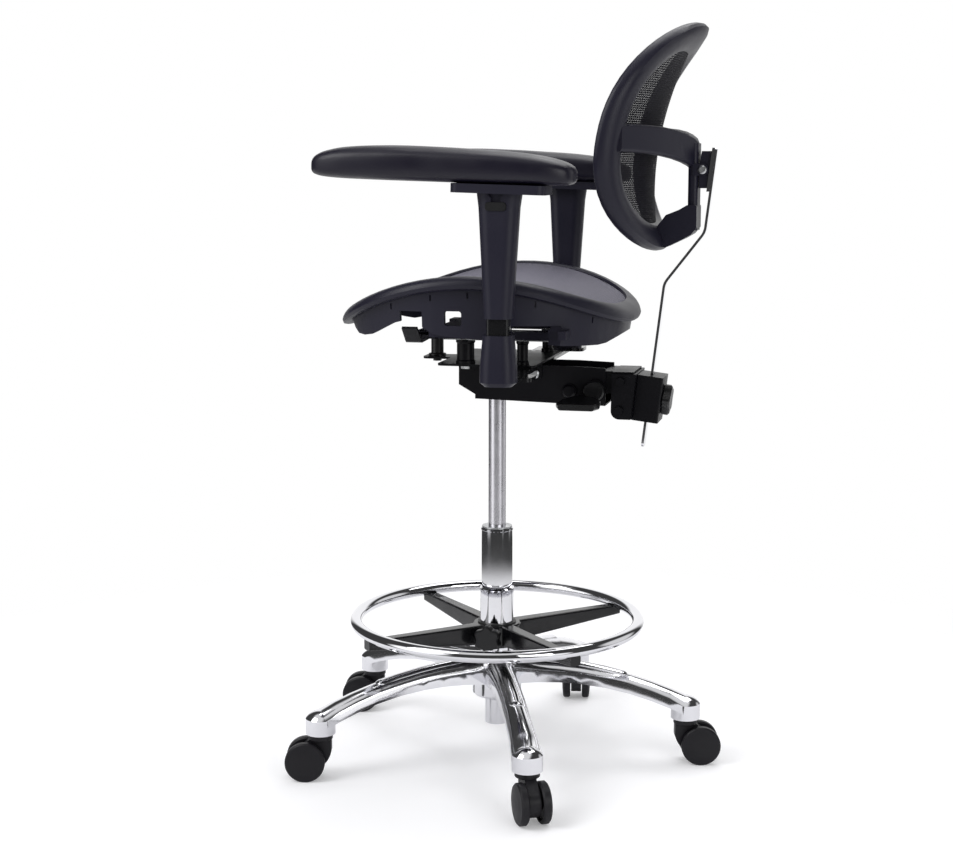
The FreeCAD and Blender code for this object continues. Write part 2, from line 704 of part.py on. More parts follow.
def ring_knob_axis():
    angle = math.radians(RING_KNOB_TURN)
    return Vector(math.cos(angle), math.sin(angle), 0)


def foot_ring_hoop(gap=0.0):
    return Part.makeTorus(HOOP_RADIUS, HOOP_TUBE + gap, Vector(0, 0, HOOP_HEIGHT))


def spoke_section(reach, width, low, high):
    centre = Vector(reach, 0, (low + high) / 2)
    return rounded_rectangle(centre, Y_AXIS, Z_AXIS, width, high - low, 3.0)


def ring_spoke():
    """A tapering channel along +X whose end cups the hoop from below."""
    root = RING_HUB_BORE + RING_HUB_WALL / 2
    beam = Part.makeLoft([spoke_section(root, SPOKE_ROOT_WIDTH, SPOKE_ROOT, SPOKE_TOP),
                          spoke_section(SPOKE_REACH, SPOKE_END_WIDTH, SPOKE_END, SPOKE_TOP)], True, True)
    start = RING_HUB_OUTER + 8
    stop = HOOP_RADIUS - HOOP_TUBE - 12
    slope = (SPOKE_END - SPOKE_ROOT) / (SPOKE_REACH - root)
    side = (SPOKE_ROOT_WIDTH - SPOKE_END_WIDTH) / (SPOKE_REACH - root) / 2
    pockets = []
    for sign in (1, -1):
        outline = []
        for reach in (start, stop):
            half = SPOKE_ROOT_WIDTH / 2 - side * (reach - root) - SPOKE_WALL
            outline.append((reach, sign * half))
        outline += [(stop, sign * SPOKE_WALL / 2), (start, sign * SPOKE_WALL / 2)]
        pockets.append(prism_z(outline, SPOKE_ROOT - 1, SPOKE_TOP - SPOKE_WALL - slope))
    return beam.cut(pockets[0]).cut(pockets[1])


def foot_ring_spider():
    bevel = 2.0
    hub = turned([(0, SPOKE_ROOT), (RING_HUB_OUTER - bevel, SPOKE_ROOT), (RING_HUB_OUTER, SPOKE_ROOT + bevel),
                  (RING_HUB_OUTER, SPOKE_TOP - bevel), (RING_HUB_OUTER - bevel, SPOKE_TOP), (0, SPOKE_TOP)])
    spoke = ring_spoke()
    pieces = [hub]
    for index in range(SPOKE_COUNT):
        turn = SPOKE_TURN + 360.0 / SPOKE_COUNT * index
        pieces.append(moved(spoke, Placement(Vector(0, 0, 0), Rotation(Z_AXIS, turn))))
    axis = ring_knob_axis()
    level = Vector(0, 0, RING_KNOB_HEIGHT)
    boss_start = RING_HUB_BORE + 2
    pieces.append(Part.makeCylinder(11, RING_BOSS_REACH - boss_start, level + axis * boss_start, axis))
    body = joined(pieces)
    body = body.cut(rod_z(0, 0, RING_HUB_BORE, SPOKE_ROOT - 1, SPOKE_TOP + 1))
    stud_hole = Part.makeCylinder(BOLT_RADIUS + RUN_FIT, RING_BOSS_REACH, level + axis * RING_BORE, axis)
    return body.cut(stud_hole).cut(foot_ring_hoop(RUN_FIT))


def foot_ring_knob():
    start = RING_BOSS_REACH + SLIDE_GAP
    stud = start - RING_HUB_BORE - SEAT_GAP
    knob = lobed_knob(RING_KNOB_RADIUS, 6, RING_KNOB_DEPTH, BOLT_RADIUS, stud)
    axis = ring_knob_axis()
    return moved(knob, Placement(Vector(0, 0, RING_KNOB_HEIGHT) + axis * start, Rotation(Z_AXIS, axis)))


# Mechanism under the seat

def mechanism_housing():
    """A folded channel, open above and behind, with the socket for the gas cylinder in its floor."""
    chamfer = 26.5
    outline = [(HOUSING_FRONT, HOUSING_TOP), (HOUSING_FRONT, HOUSING_LOW + 22),
               (HOUSING_FRONT + chamfer, HOUSING_LOW + 7), (HOUSING_FRONT + chamfer, HOUSING_LOW),
               (HOUSING_REAR, HOUSING_REAR_LOW),
               (HOUSING_REAR, HOUSING_TOP - 2), (PIVOT_Y, HOUSING_TOP)]
    shell = prism_x(outline, -HOUSING_HALF, HOUSING_HALF)
    inner_face = Part.Wire(Part.makePolygon([Vector(0, y, z) for y, z in outline + outline[:1]]))
    inner_wire = inner_face.makeOffset2D(-HOUSING_SHEET)
    half = HOUSING_HALF - HOUSING_SHEET
    room = shifted(Part.Face(inner_wire).extrude(X_AXIS * (2 * half)), -half, 0, 0)
    above = shifted(room, 0, 0, 2 * HOUSING_SHEET)
    behind = shifted(room, 0, 2 * HOUSING_SHEET, 0)
    behind_above = shifted(room, 0, 2 * HOUSING_SHEET, 2 * HOUSING_SHEET)
    shell = shell.cut(room).cut(above).cut(behind).cut(behind_above)
    socket = rod_z(0, 0, GAS_RADIUS + SOCKET_WALL, HOUSING_LOW - 1.5, SOCKET_TOP)
    bore = rod_z(0, 0, GAS_RADIUS + RUN_FIT, HOUSING_LOW - 10, SOCKET_TOP + 1)
    body = joined([shell, socket]).cut(bore)
    full = HOUSING_HALF + 1
    holes = [rod_x(PIVOT_Y, PIVOT_Z, PIVOT_RADIUS + RUN_FIT, -full, full),
             rod_x(TILT_Y, TILT_Z, TILT_RADIUS + RUN_FIT, -full, full),
             rod_x(HEIGHT_LEVER_Y, HEIGHT_LEVER_Z, LEVER_SHAFT + RUN_FIT, -full, 0),
             rod_x(LOCK_LEVER_Y, LOCK_LEVER_Z, LEVER_SHAFT + RUN_FIT, 0, full)]
    for hole in holes:
        body = body.cut(hole)
    return body


def cross_bolt(y, z, radius, cap_radius, half, cap_depth):
    """A bolt across the housing with a domed cap at each end."""
    shank = rod_x(y, z, radius, -half, half)
    cap = turned([(0, 0), (cap_radius, 0), (cap_radius, cap_depth * 0.5), (cap_radius * 0.7, cap_depth),
                  (0, cap_depth)])
    right = moved(cap, Placement(Vector(half, y, z), Rotation(Z_AXIS, X_AXIS)))
    left = moved(cap, Placement(Vector(-half, y, z), Rotation(Z_AXIS, X_AXIS * -1)))
    return joined([shank, right, left])


def back_pivot_bolt():
    return cross_bolt(PIVOT_Y, PIVOT_Z, PIVOT_RADIUS, PIVOT_CAP, HOUSING_HALF + SEAT_GAP, 7)


EAR_INNER = HOUSING_HALF + 1.5
EAR_OUTER = EAR_INNER + EAR_SHEET


def tilt_pin():
    return cross_bolt(TILT_Y, TILT_Z, TILT_RADIUS, TILT_RADIUS + 3, EAR_OUTER + SEAT_GAP, 3.5)


def paddle_lever(y, z, inner_end):
    """A lever on the +X wall: shaft through the wall, round hub and a pebble-shaped paddle."""
    hub_start = HOUSING_HALF + SLIDE_GAP
    hub_end = hub_start + LEVER_HUB_DEPTH
    shaft = rod_x(y, z, LEVER_SHAFT, inner_end, hub_end)
    step = 2.0
    hub = turned([(0, 0), (LEVER_HUB, 0), (LEVER_HUB, 4), (LEVER_HUB - step, 4), (LEVER_HUB - step, 7),
                  (LEVER_HUB, 7), (LEVER_HUB, LEVER_HUB_DEPTH - step), (LEVER_HUB - step, LEVER_HUB_DEPTH),
                  (0, LEVER_HUB_DEPTH)])
    hub = moved(hub, Placement(Vector(hub_start, y, z), Rotation(Z_AXIS, X_AXIS)))
    sections = []
    blade = PADDLE_BACK + PADDLE_FRONT
    centre_y = y + (PADDLE_BACK - PADDLE_FRONT) / 2
    for share, size in ((0.0, 0.55), (0.35, 0.9), (0.75, 1.0), (1.0, 0.82)):
        centre = Vector(hub_end - 6 + share * (PADDLE_LENGTH + 6), centre_y, z - PADDLE_DROP - 3 * share)
        thick = PADDLE_THICK * (1.15 - 0.3 * share)
        sections.append(rounded_rectangle(centre, Y_AXIS, Z_AXIS, blade * size, thick, thick * 0.42))
    return joined([shaft, hub, Part.makeLoft(sections, True, True)])


def back_lock_lever():
    return paddle_lever(LOCK_LEVER_Y, LOCK_LEVER_Z, HOUSING_HALF - HOUSING_SHEET - 1)


FINGER_LOW = GAS_TOP + RELEASE_RISE + SLIDE_GAP


def height_lever():
    """The same lever on the -X wall, with a finger that lies over the release pin."""
    lever = mirrored(paddle_lever(HEIGHT_LEVER_Y, HEIGHT_LEVER_Z, 0))
    half = FINGER_WIDTH / 2
    shaft_end = rod_x(HEIGHT_LEVER_Y, HEIGHT_LEVER_Z, LEVER_SHAFT, -half, half)
    root = HEIGHT_LEVER_Z - LEVER_SHAFT * 0.6
    outline = [(HEIGHT_LEVER_Y - LEVER_SHAFT * 0.8, root), (HEIGHT_LEVER_Y + LEVER_SHAFT * 0.8, root),
               (-GAS_RADIUS - SOCKET_WALL, FINGER_LOW), (RELEASE_RADIUS, FINGER_LOW),
               (RELEASE_RADIUS, FINGER_LOW + 5), (HEIGHT_LEVER_Y - LEVER_SHAFT * 0.8, FINGER_LOW + 5)]
    return joined([lever, shaft_end, prism_x(outline, -half, half)])


# Seat carrier

PLATE_TOP = PLATE_BOTTOM + PLATE_THICK
SPACER_TOP = PLATE_TOP + SPACER_HEIGHT
ARM_BAR_TOP = PLATE_BOTTOM - SEAT_GAP
ARM_BAR_LOW = ARM_BAR_TOP - ARM_BAR_THICK
ARM_BOLT_X = PLATE_HALF - 14.0


def spacer_places():
    places = []
    for x, y, radius in (SPACER_FRONT, SPACER_REAR):
        places += [(x, y, radius), (-x, y, radius)]
    return places


def seat_plate():
    """Pressed plate with a front tongue, turned-down ears on the tilt pin and bolt holes."""
    outline = [(-PLATE_HALF, PLATE_FRONT), (-TONGUE_HALF, PLATE_FRONT), (-TONGUE_HALF, TONGUE_FRONT),
               (TONGUE_HALF, TONGUE_FRONT), (TONGUE_HALF, PLATE_FRONT), (PLATE_HALF, PLATE_FRONT),
               (PLATE_HALF, PLATE_REAR), (-PLATE_HALF, PLATE_REAR)]
    plate = rounded_along(prism_z(outline, PLATE_BOTTOM, PLATE_TOP), Z_AXIS, 8)
    pieces = [plate]
    for side in (1, -1):
        low, high = sorted((side * EAR_INNER, side * EAR_OUTER))
        ear = block((low, high), (TILT_Y - EAR_RADIUS, TILT_Y + EAR_RADIUS), (TILT_Z, PLATE_BOTTOM + 1))
        tip = rod_x(TILT_Y, TILT_Z, EAR_RADIUS, low, high)
        pieces += [ear, tip]
    body = joined(pieces)
    body = body.cut(rod_x(TILT_Y, TILT_Z, TILT_RADIUS + RUN_FIT, -EAR_OUTER - 1, EAR_OUTER + 1))
    body = body.cut(rod_z(0, TENSION_Y, BOLT_RADIUS + RUN_FIT, PLATE_BOTTOM - 1, PLATE_TOP + 1))
    for x, y, _ in spacer_places():
        body = body.cut(rod_z(x, y, BOLT_RADIUS + RUN_FIT, PLATE_BOTTOM - 1, PLATE_TOP + 1))
    for side in (1, -1):
        hole = rod_z(side * ARM_BOLT_X, ARM_POST_Y - 24, BOLT_RADIUS + RUN_FIT,
                     PLATE_BOTTOM - 1, PLATE_TOP + 1)
        body = body.cut(hole)
    return body


def seat_spacers():
    solids = []
    for x, y, radius in spacer_places():
        lip = 1.5
        ring = turned([(BOLT_RADIUS + RUN_FIT, PLATE_TOP), (radius, PLATE_TOP), (radius, PLATE_TOP + 4),
                       (radius - lip, PLATE_TOP + 6), (radius - lip, SPACER_TOP - 6),
                       (radius, SPACER_TOP - 4), (radius, SPACER_TOP), (BOLT_RADIUS + RUN_FIT, SPACER_TOP)])
        solids.append(shifted(ring, x, y, 0))
    return Part.Compound(solids)


def seat_rails():
    """Two upturned channels on the spacers, on which the seat slides forward and back."""
    solids = []
    for side in (1, -1):
        x = side * SPACER_FRONT[0]
        half = RAIL_WIDTH / 2
        outer = block((x - half, x + half), (RAIL_FRONT, RAIL_REAR), (SPACER_TOP, SPACER_TOP + RAIL_HEIGHT))
        inner = block((x - half + RAIL_SHEET, x + half - RAIL_SHEET), (RAIL_FRONT - 1, RAIL_REAR + 1),
                      (SPACER_TOP + RAIL_SHEET, SPACER_TOP + RAIL_HEIGHT + 1))
        rail = outer.cut(inner)
        for _, y, _ in (SPACER_FRONT, SPACER_REAR):
            rail = rail.cut(rod_z(x, y, BOLT_RADIUS + RUN_FIT, SPACER_TOP - 1, SPACER_TOP + RAIL_HEIGHT))
        solids.append(rail)
    return Part.Compound(solids)


def seat_plate_bolts():
    """Bolts up through the plate at the front, down through the rails at the rear, and for the arms."""
    solids = []
    for side in (1, -1):
        long_shank = PLATE_THICK + SPACER_HEIGHT + RAIL_SHEET + 3
        front = hex_bolt(BOLT_HEAD, BOLT_HEAD_HEIGHT, BOLT_RADIUS, long_shank)
        solids.append(shifted(front, side * SPACER_FRONT[0], SPACER_FRONT[1], PLATE_BOTTOM))
        rear_shank = PLATE_THICK + SPACER_HEIGHT + RAIL_SHEET
        rear = hex_bolt(BOLT_HEAD, BOLT_HEAD_HEIGHT, BOLT_RADIUS, rear_shank)
        top = Vector(side * SPACER_REAR[0], SPACER_REAR[1], SPACER_TOP + RAIL_SHEET)
        solids.append(moved(rear, Placement(top, Rotation(X_AXIS, 180))))
        arm = hex_bolt(BOLT_HEAD, BOLT_HEAD_HEIGHT, BOLT_RADIUS, ARM_BAR_THICK + 2 * SEAT_GAP + PLATE_THICK)
        solids.append(shifted(arm, side * ARM_BOLT_X, ARM_POST_Y - 24, ARM_BAR_LOW - SEAT_GAP))
    return Part.Compound(solids)


def tension_knob():
    """Upright knob on the tongue, with a flange below and its screw through the plate."""
    low = PLATE_TOP + SLIDE_GAP
    crown = 2.0
    body = turned([(0, low), (TENSION_FLANGE, low), (TENSION_FLANGE, low + 3), (TENSION_RADIUS, low + 4),
                   (TENSION_RADIUS, low + TENSION_HEIGHT - crown),
                   (TENSION_RADIUS - crown, low + TENSION_HEIGHT), (0, low + TENSION_HEIGHT)])
    screw = Part.makeCylinder(BOLT_RADIUS, PLATE_THICK + 8, Vector(0, 0, PLATE_BOTTOM - 4))
    nut_outline = [(7 * math.cos(math.radians(60 * i)), 7 * math.sin(math.radians(60 * i))) for i in range(6)]
    nut = prism_z(nut_outline, PLATE_BOTTOM - 5, PLATE_BOTTOM - SLIDE_GAP)
    return shifted(joined([body, screw, nut]), 0, TENSION_Y, 0)


# Seat

SEAT_MID = (SEAT_FRONT + SEAT_REAR) / 2
SEAT_HALF_DEPTH = (SEAT_REAR - SEAT_FRONT) / 2
RING_STEPS = 32
RING_TURNS = [-90 + 180 * step / RING_STEPS for step in range(RING_STEPS + 1)]


def oval(turn, half_a, half_b, squareness):
    """The point of a squared oval in one direction: first half-axis at 0 degrees, second at 90."""
    angle = math.radians(turn)
    c = math.cos(angle) if abs(turn) < 90 else 0.0
    s = math.sin(angle)
    reach = (abs(c) ** squareness + abs(s) ** squareness) ** (-1 / squareness)
    return half_a * c * reach, half_b * s * reach


def seat_top(y):
    return SEAT_CREST - SEAT_FALL * (y - SEAT_CREST_Y) ** 2


def seat_point(turn, inset, rise):
    """A point of the rim, some way inside its edge and above or below its top surface."""
    x, y = oval(turn, SEAT_HALF_WIDTH - inset, SEAT_HALF_DEPTH - inset, SEAT_SQUARENESS)
    return Vector(x, SEAT_MID + y, seat_top(SEAT_MID + y) + rise)


def skirt_low(y):
    for (near, near_low), (far, far_low) in zip(SKIRT_LOW, SKIRT_LOW[1:]):
        if near <= y <= far:
            return near_low + (far_low - near_low) * (y - near) / (far - near)
    return SKIRT_LOW[-1][1]


def seat_rim_half():
    """The +X half of the rolled rim, lofted from the front round the side to the rear."""
    inner = SEAT_RIM_WIDTH
    shape = [(0, -12), (1.2, -7.5), (4, -3.5), (8, -1.2), (13, -0.2), (18, 0), (inner - 2, -1),
             (inner, -SEAT_MESH_DROP), (inner - 2, -13), (17, -18), (11, -21), (6, -20.5), (1.8, -17.5)]
    sections = []
    for turn in RING_TURNS:
        sections.append(closed_outline([seat_point(turn, inset, rise) for inset, rise in shape]))
    return Part.makeLoft(sections, True, True)


def seat_skirt_half():
    """The wall under the rim, deepest beside the slide rails."""
    sections = []
    for turn in RING_TURNS:
        corners = []
        for inset, top in ((SKIRT_INSET, True), (SKIRT_INSET + SKIRT_WALL, True),
                           (SKIRT_INSET + SKIRT_WALL + 5, False), (SKIRT_INSET + 5, False)):
            point = seat_point(turn, inset, -14)
            if not top:
                point.z = min(point.z - 4, skirt_low(point.y))
            corners.append(point)
        sections.append(closed_outline(corners))
    return Part.makeLoft(sections, True, True)


GUIDE_TOP = SPACER_TOP + RAIL_HEIGHT + 2 * SLIDE_GAP
SLIDE_LEVER_Z = GUIDE_TOP - 3.0


def seat_guides():
    """Channels that ride over the rails, and the two beams that tie them to the skirt."""
    pieces = []
    half = RAIL_WIDTH / 2 + SLIDE_GAP
    for side in (1, -1):
        x = side * SPACER_FRONT[0]
        outer = block((x - half - GUIDE_WALL, x + half + GUIDE_WALL), (GUIDE_FRONT, GUIDE_REAR),
                      (SPACER_TOP + 2, GUIDE_TOP + GUIDE_WALL))
        inner = block((x - half, x + half), (GUIDE_FRONT - 1, GUIDE_REAR + 1), (SPACER_TOP, GUIDE_TOP))
        pieces.append(outer.cut(inner))
    for y in (BEAM_FRONT_Y, GUIDE_REAR - BEAM_WIDTH / 2):
        reach = SEAT_HALF_WIDTH - SKIRT_INSET - SKIRT_WALL
        pieces.append(block((-reach, reach), (y - BEAM_WIDTH / 2, y + BEAM_WIDTH / 2),
                            (GUIDE_TOP + GUIDE_WALL - 1, GUIDE_TOP + GUIDE_WALL + BEAM_HEIGHT)))
    lug = 3.0
    for sign in (1, -1):
        inner_y = SLIDE_LEVER_Y + sign * (SLIDE_LEVER_WIDTH / 2 + SLIDE_GAP)
        low, high = sorted((inner_y, inner_y + sign * lug))
        root = SPACER_FRONT[0] + half + GUIDE_WALL - 1
        pieces.append(block((root, SLIDE_LEVER_X + 7), (low, high), (SLIDE_LEVER_Z - 5, SLIDE_LEVER_Z + 6)))
    pin_half = SLIDE_LEVER_WIDTH / 2 + SLIDE_GAP + lug
    pin_end = Vector(SLIDE_LEVER_X, SLIDE_LEVER_Y - pin_half, SLIDE_LEVER_Z)
    pieces.append(Part.makeCylinder(2.5, 2 * pin_half, pin_end, Y_AXIS))
    return pieces


def seat_frame():
    rim = seat_rim_half()
    skirt = seat_skirt_half()
    body = joined([rim, mirrored(rim), skirt, mirrored(skirt)] + seat_guides())
    half = SLIDE_LEVER_WIDTH / 2 + 6
    notch = block((SEAT_HALF_WIDTH - 60, SEAT_HALF_WIDTH + 5), (SLIDE_LEVER_Y - half, SLIDE_LEVER_Y + half),
                  (SPACER_TOP - 20, SLIDE_LEVER_Z + 44))
    body = body.cut(notch)
    reach = SEAT_HALF_WIDTH - SKIRT_INSET - SKIRT_WALL - 30
    for front, rear, low, high in (SEAT_WINDOW, RAIL_OPENING):
        opening = block((reach, SEAT_HALF_WIDTH + 5), (front, rear), (low, high))
        opening = rounded_along(opening, X_AXIS, 4)
        body = body.cut(opening).cut(mirrored(opening))
    for turn in CLIP_TURNS:
        pocket = seat_clip_pocket(turn)
        body = body.cut(pocket).cut(mirrored(pocket))
    return body


def seat_clip_pocket(turn):
    """A shallow upright slot under the rim, square to the skirt, for a clip that holds the weave."""
    here = seat_point(turn, SKIRT_INSET, 0)
    ahead = seat_point(turn + 1, SKIRT_INSET, 0) - here
    along = Vector(ahead.x, ahead.y, 0).normalize()
    width, height = CLIP_SIZE
    pocket = Part.makeBox(width, 8, height, Vector(-width / 2, -4, -height / 2))
    return moved(pocket, Placement(here - Z_AXIS * CLIP_DROP, Rotation(X_AXIS, along)))


def seat_mesh():
    """Woven sheet stretched inside the rim, dished a little in the middle."""
    inset = SEAT_RIM_WIDTH + SOFT_GAP
    half_width = SEAT_HALF_WIDTH - inset
    half_depth = SEAT_HALF_DEPTH - inset
    rows = []
    for i in range(9):
        across = -1.1 + 2.2 * i / 8
        row = []
        for j in range(11):
            along = -1.1 + 2.2 * j / 10
            y = SEAT_MID + along * half_depth
            sag = SEAT_MESH_SAG * (1 - across ** 2) * (1 - along ** 2)
            under = seat_top(y) - SEAT_MESH_DROP - SEAT_MESH_THICK / 2 - sag
            row.append(Vector(across * half_width, y, under))
        rows.append(row)
    surface = Part.BSplineSurface()
    surface.interpolate(rows)
    sheet = surface.toShape().extrude(Z_AXIS * SEAT_MESH_THICK)
    rim = [seat_point(turn, inset, 0) for turn in RING_TURNS]
    rim += [Vector(-point.x, point.y, point.z) for point in rim[-2:0:-1]]
    low = SPACER_TOP - 100
    cutter = Part.Face(closed_outline([Vector(point.x, point.y, low) for point in rim])).extrude(Z_AXIS * 300)
    return sheet.common(cutter)


def seat_slide_lever():
    """Flat lever hung under the front beam, turned up at its grip."""
    low = SLIDE_LEVER_Y - SLIDE_LEVER_WIDTH / 2
    path = [(SLIDE_LEVER_X, SLIDE_LEVER_Z), (SLIDE_LEVER_REACH - 24, SLIDE_LEVER_Z - 3),
            (SLIDE_LEVER_REACH, SLIDE_LEVER_Z + 20)]
    strip = bent_strip(path, 4.0, 10.0, X_AXIS, Z_AXIS, Y_AXIS * SLIDE_LEVER_WIDTH)
    strip = shifted(strip, 0, low, 0)
    eye = Part.makeCylinder(5.5, SLIDE_LEVER_WIDTH, Vector(SLIDE_LEVER_X, low, SLIDE_LEVER_Z), Y_AXIS)
    hole_end = Vector(SLIDE_LEVER_X, low - 1, SLIDE_LEVER_Z)
    hole = Part.makeCylinder(2.5 + RUN_FIT, SLIDE_LEVER_WIDTH + 2, hole_end, Y_AXIS)
    return joined([strip, eye]).cut(hole)


# Arms, made for the +X side and mirrored for the other

ARM_TUBE_INNER_X = ARM_POST_X - ARM_TUBE_X / 2
ARM_LEG_X = ARM_TUBE_INNER_X - ARM_BAR_THICK / 2


def arm_bracket():
    """Flat bar under the seat plate, bent up beside the post tube that is welded to it."""
    low = ARM_POST_Y - ARM_BAR_WIDTH / 2
    path = [(ARM_BAR_INNER, ARM_BAR_LOW + ARM_BAR_THICK / 2), (ARM_LEG_X, ARM_BAR_LOW + ARM_BAR_THICK / 2),
            (ARM_LEG_X, ARM_SOCKET_TOP - 6)]
    bar = bent_strip(path, ARM_BAR_THICK, ARM_BAR_BEND, X_AXIS, Z_AXIS, Y_AXIS * ARM_BAR_WIDTH)
    bar = shifted(bar, 0, low, 0)
    centre = Vector(ARM_POST_X, ARM_POST_Y, ARM_SOCKET_BOTTOM + 12)
    height = Z_AXIS * (ARM_TUBE_TOP - centre.z)
    outer = Part.Face(rounded_rectangle(centre, X_AXIS, Y_AXIS, ARM_TUBE_X, ARM_TUBE_Y, 4.0)).extrude(height)
    room = Part.Face(rounded_rectangle(centre, X_AXIS, Y_AXIS, ARM_TUBE_X - 2 * ARM_TUBE_WALL,
                                       ARM_TUBE_Y - 2 * ARM_TUBE_WALL, 2.0)).extrude(height)
    slot_half = BOLT_RADIUS + 0.4
    slot_low = ARM_BOLT_X - 36
    slot_high = ARM_BOLT_X + 6
    slot_y = ARM_POST_Y - 24
    bar_edge = block((ARM_BAR_INNER, ARM_LEG_X - 40), (slot_y - 12, low + 1), (ARM_BAR_LOW, ARM_BAR_TOP))
    tab = block((ARM_LEG_X - 60, ARM_LEG_X - 12), (low + 5, low + ARM_BAR_WIDTH + 22),
                (ARM_BAR_LOW, ARM_BAR_TOP))
    tab = rounded_along(tab, Z_AXIS, 10)
    slot = block((slot_low, slot_high), (slot_y - slot_half, slot_y + slot_half),
                 (ARM_BAR_LOW - 1, ARM_BAR_TOP + 1))
    ends = [rod_z(x, slot_y, slot_half, ARM_BAR_LOW - 1, ARM_BAR_TOP + 1) for x in (slot_low, slot_high)]
    body = joined([bar, bar_edge, tab, outer]).cut(room)
    return body.cut(joined([slot] + ends))


def arm_socket():
    """Moulded cover round the foot of the post, wider and rounded at the bottom."""
    sections = []
    for height, width, length in ((ARM_SOCKET_BOTTOM, 34, 40), (ARM_SOCKET_BOTTOM + 6, 44, 54),
                                  (ARM_SOCKET_BOTTOM + 30, 43, 53), (ARM_SOCKET_TOP, 38, 45)):
        centre = Vector(ARM_POST_X, ARM_POST_Y, height)
        sections.append(rounded_rectangle(centre, X_AXIS, Y_AXIS, width, length, 0.42 * width))
    body = Part.makeLoft(sections, True, True)
    return body.cut(arm_bracket()).Solids[0]


def arm_sleeve():
    """Tapered sleeve that slides on the post, with the flat plate that carries the pad."""
    low_x, low_y = SLEEVE_LOW_SIZE
    top_x, top_y = SLEEVE_TOP_SIZE
    sections = []
    for share, flare in ((0.0, 0.0), (0.5, 0.42), (0.86, 0.72), (1.0, 1.0)):
        height = SLEEVE_TOP + ARM_PLATE_THICK / 2 - SLEEVE_BOTTOM
        centre = Vector(ARM_POST_X, ARM_POST_Y + 1.5 * flare, SLEEVE_BOTTOM + share * height)
        width = low_x + (top_x - low_x) * flare
        length = low_y + (top_y - low_y) * flare
        sections.append(rounded_rectangle(centre, X_AXIS, Y_AXIS, width, length, 0.4 * width))
    body = Part.makeLoft(sections, True, True)
    plate_x, plate_y = ARM_PLATE_SIZE
    centre = Vector(ARM_POST_X - PAD_SHIFT / 2, ARM_POST_Y + 3, SLEEVE_TOP)
    plate = Part.Face(rounded_rectangle(centre, X_AXIS, Y_AXIS, plate_x, plate_y, 12.0))
    plate = arm_top_tilted(plate.extrude(Z_AXIS * ARM_PLATE_THICK))
    room_centre = Vector(ARM_POST_X, ARM_POST_Y, SLEEVE_BOTTOM - 1)
    room = Part.Face(rounded_rectangle(room_centre, X_AXIS, Y_AXIS, ARM_TUBE_X + 2 * SLIDE_GAP,
                                       ARM_TUBE_Y + 2 * SLIDE_GAP, 4.0 + SLIDE_GAP))
    room = room.extrude(Z_AXIS * (TRIGGER_Z - 12 - SLEEVE_BOTTOM))
    notch = prism_x([(ARM_POST_Y - 7, TRIGGER_Z), (ARM_POST_Y + 7, TRIGGER_Z),
                     (ARM_POST_Y + 7, SLEEVE_TOP - 6), (ARM_POST_Y + 13, SLEEVE_TOP + 1),
                     (ARM_POST_Y - 13, SLEEVE_TOP + 1),
                     (ARM_POST_Y - 7, SLEEVE_TOP - 6)], sleeve_face() - 5, sleeve_face() + 5)
    body = body.cut(notch)
    body = joined([body, plate]).cut(room)
    return body.cut(trigger_block(SLIDE_GAP, TRIGGER_TRAVEL))


def arm_top_tilted(shape):
    """Tips the plate or pad about the post, at the height of the sleeve's top."""
    pivot = Vector(ARM_POST_X, ARM_POST_Y, SLEEVE_TOP)
    return moved(shape, Placement(Vector(0, 0, 0), Rotation(X_AXIS, ARM_TOP_TILT), pivot))


def sleeve_face():
    return ARM_POST_X + SLEEVE_TOP_SIZE[0] / 2


def trigger_block(gap, extra):
    """The trigger's outline on the sleeve's outer face, grown by a gap and deepened for its travel."""
    depth, length, height = TRIGGER_SIZE
    centre = Vector(sleeve_face() + 0.5 - depth - extra, ARM_POST_Y, TRIGGER_Z)
    wire = rounded_rectangle(centre, Y_AXIS, Z_AXIS, length + 2 * gap, height + 2 * gap, height / 2 - 1)
    return Part.Face(wire).extrude(X_AXIS * (depth + extra + (5 if gap else 0)))


def arm_trigger():
    return trigger_block(0.0, 0.0)


def arm_pad():
    """Soft pad: its side outline across the full width, trimmed to the plan of its rounded ends."""
    base = SLEEVE_TOP + ARM_PLATE_THICK + SLIDE_GAP
    length = PAD_REAR - PAD_FRONT
    tops = [(PAD_FRONT + share * length, base + high) for share, _, _, high in PAD_SECTIONS]
    lows = [(PAD_FRONT + share * length, base + low) for share, _, low, _ in PAD_SECTIONS[::-1]]
    middle = ARM_POST_X - PAD_SHIFT
    side = prism_x(tops + lows, middle - PAD_WIDTH, middle + PAD_WIDTH)
    rights = [(middle + PAD_WIDTH / 2 * width, PAD_FRONT + share * length)
              for share, width, _, _ in PAD_SECTIONS]
    lefts = [(2 * middle - x, y) for x, y in rights[::-1]]
    plan = prism_z(rights + lefts, base - 5, base + 60)
    return arm_top_tilted(side.common(plan))


# Back

BAR_RUN = Vector(0, BAR_POINTS[1][0] - BAR_POINTS[0][0], BAR_POINTS[1][1] - BAR_POINTS[0][1]).normalize()
BAR_NORMAL = Vector(0, BAR_RUN.z, -BAR_RUN.y)


def bar_middle(height):
    """The point of the bar's lower run at one height."""
    share = (height - BAR_POINTS[0][1]) / (BAR_POINTS[1][1] - BAR_POINTS[0][1])
    return Vector(0, BAR_POINTS[0][0] + share * (BAR_POINTS[1][0] - BAR_POINTS[0][0]), height)


GUIDE_CENTRE = bar_middle(597.0)


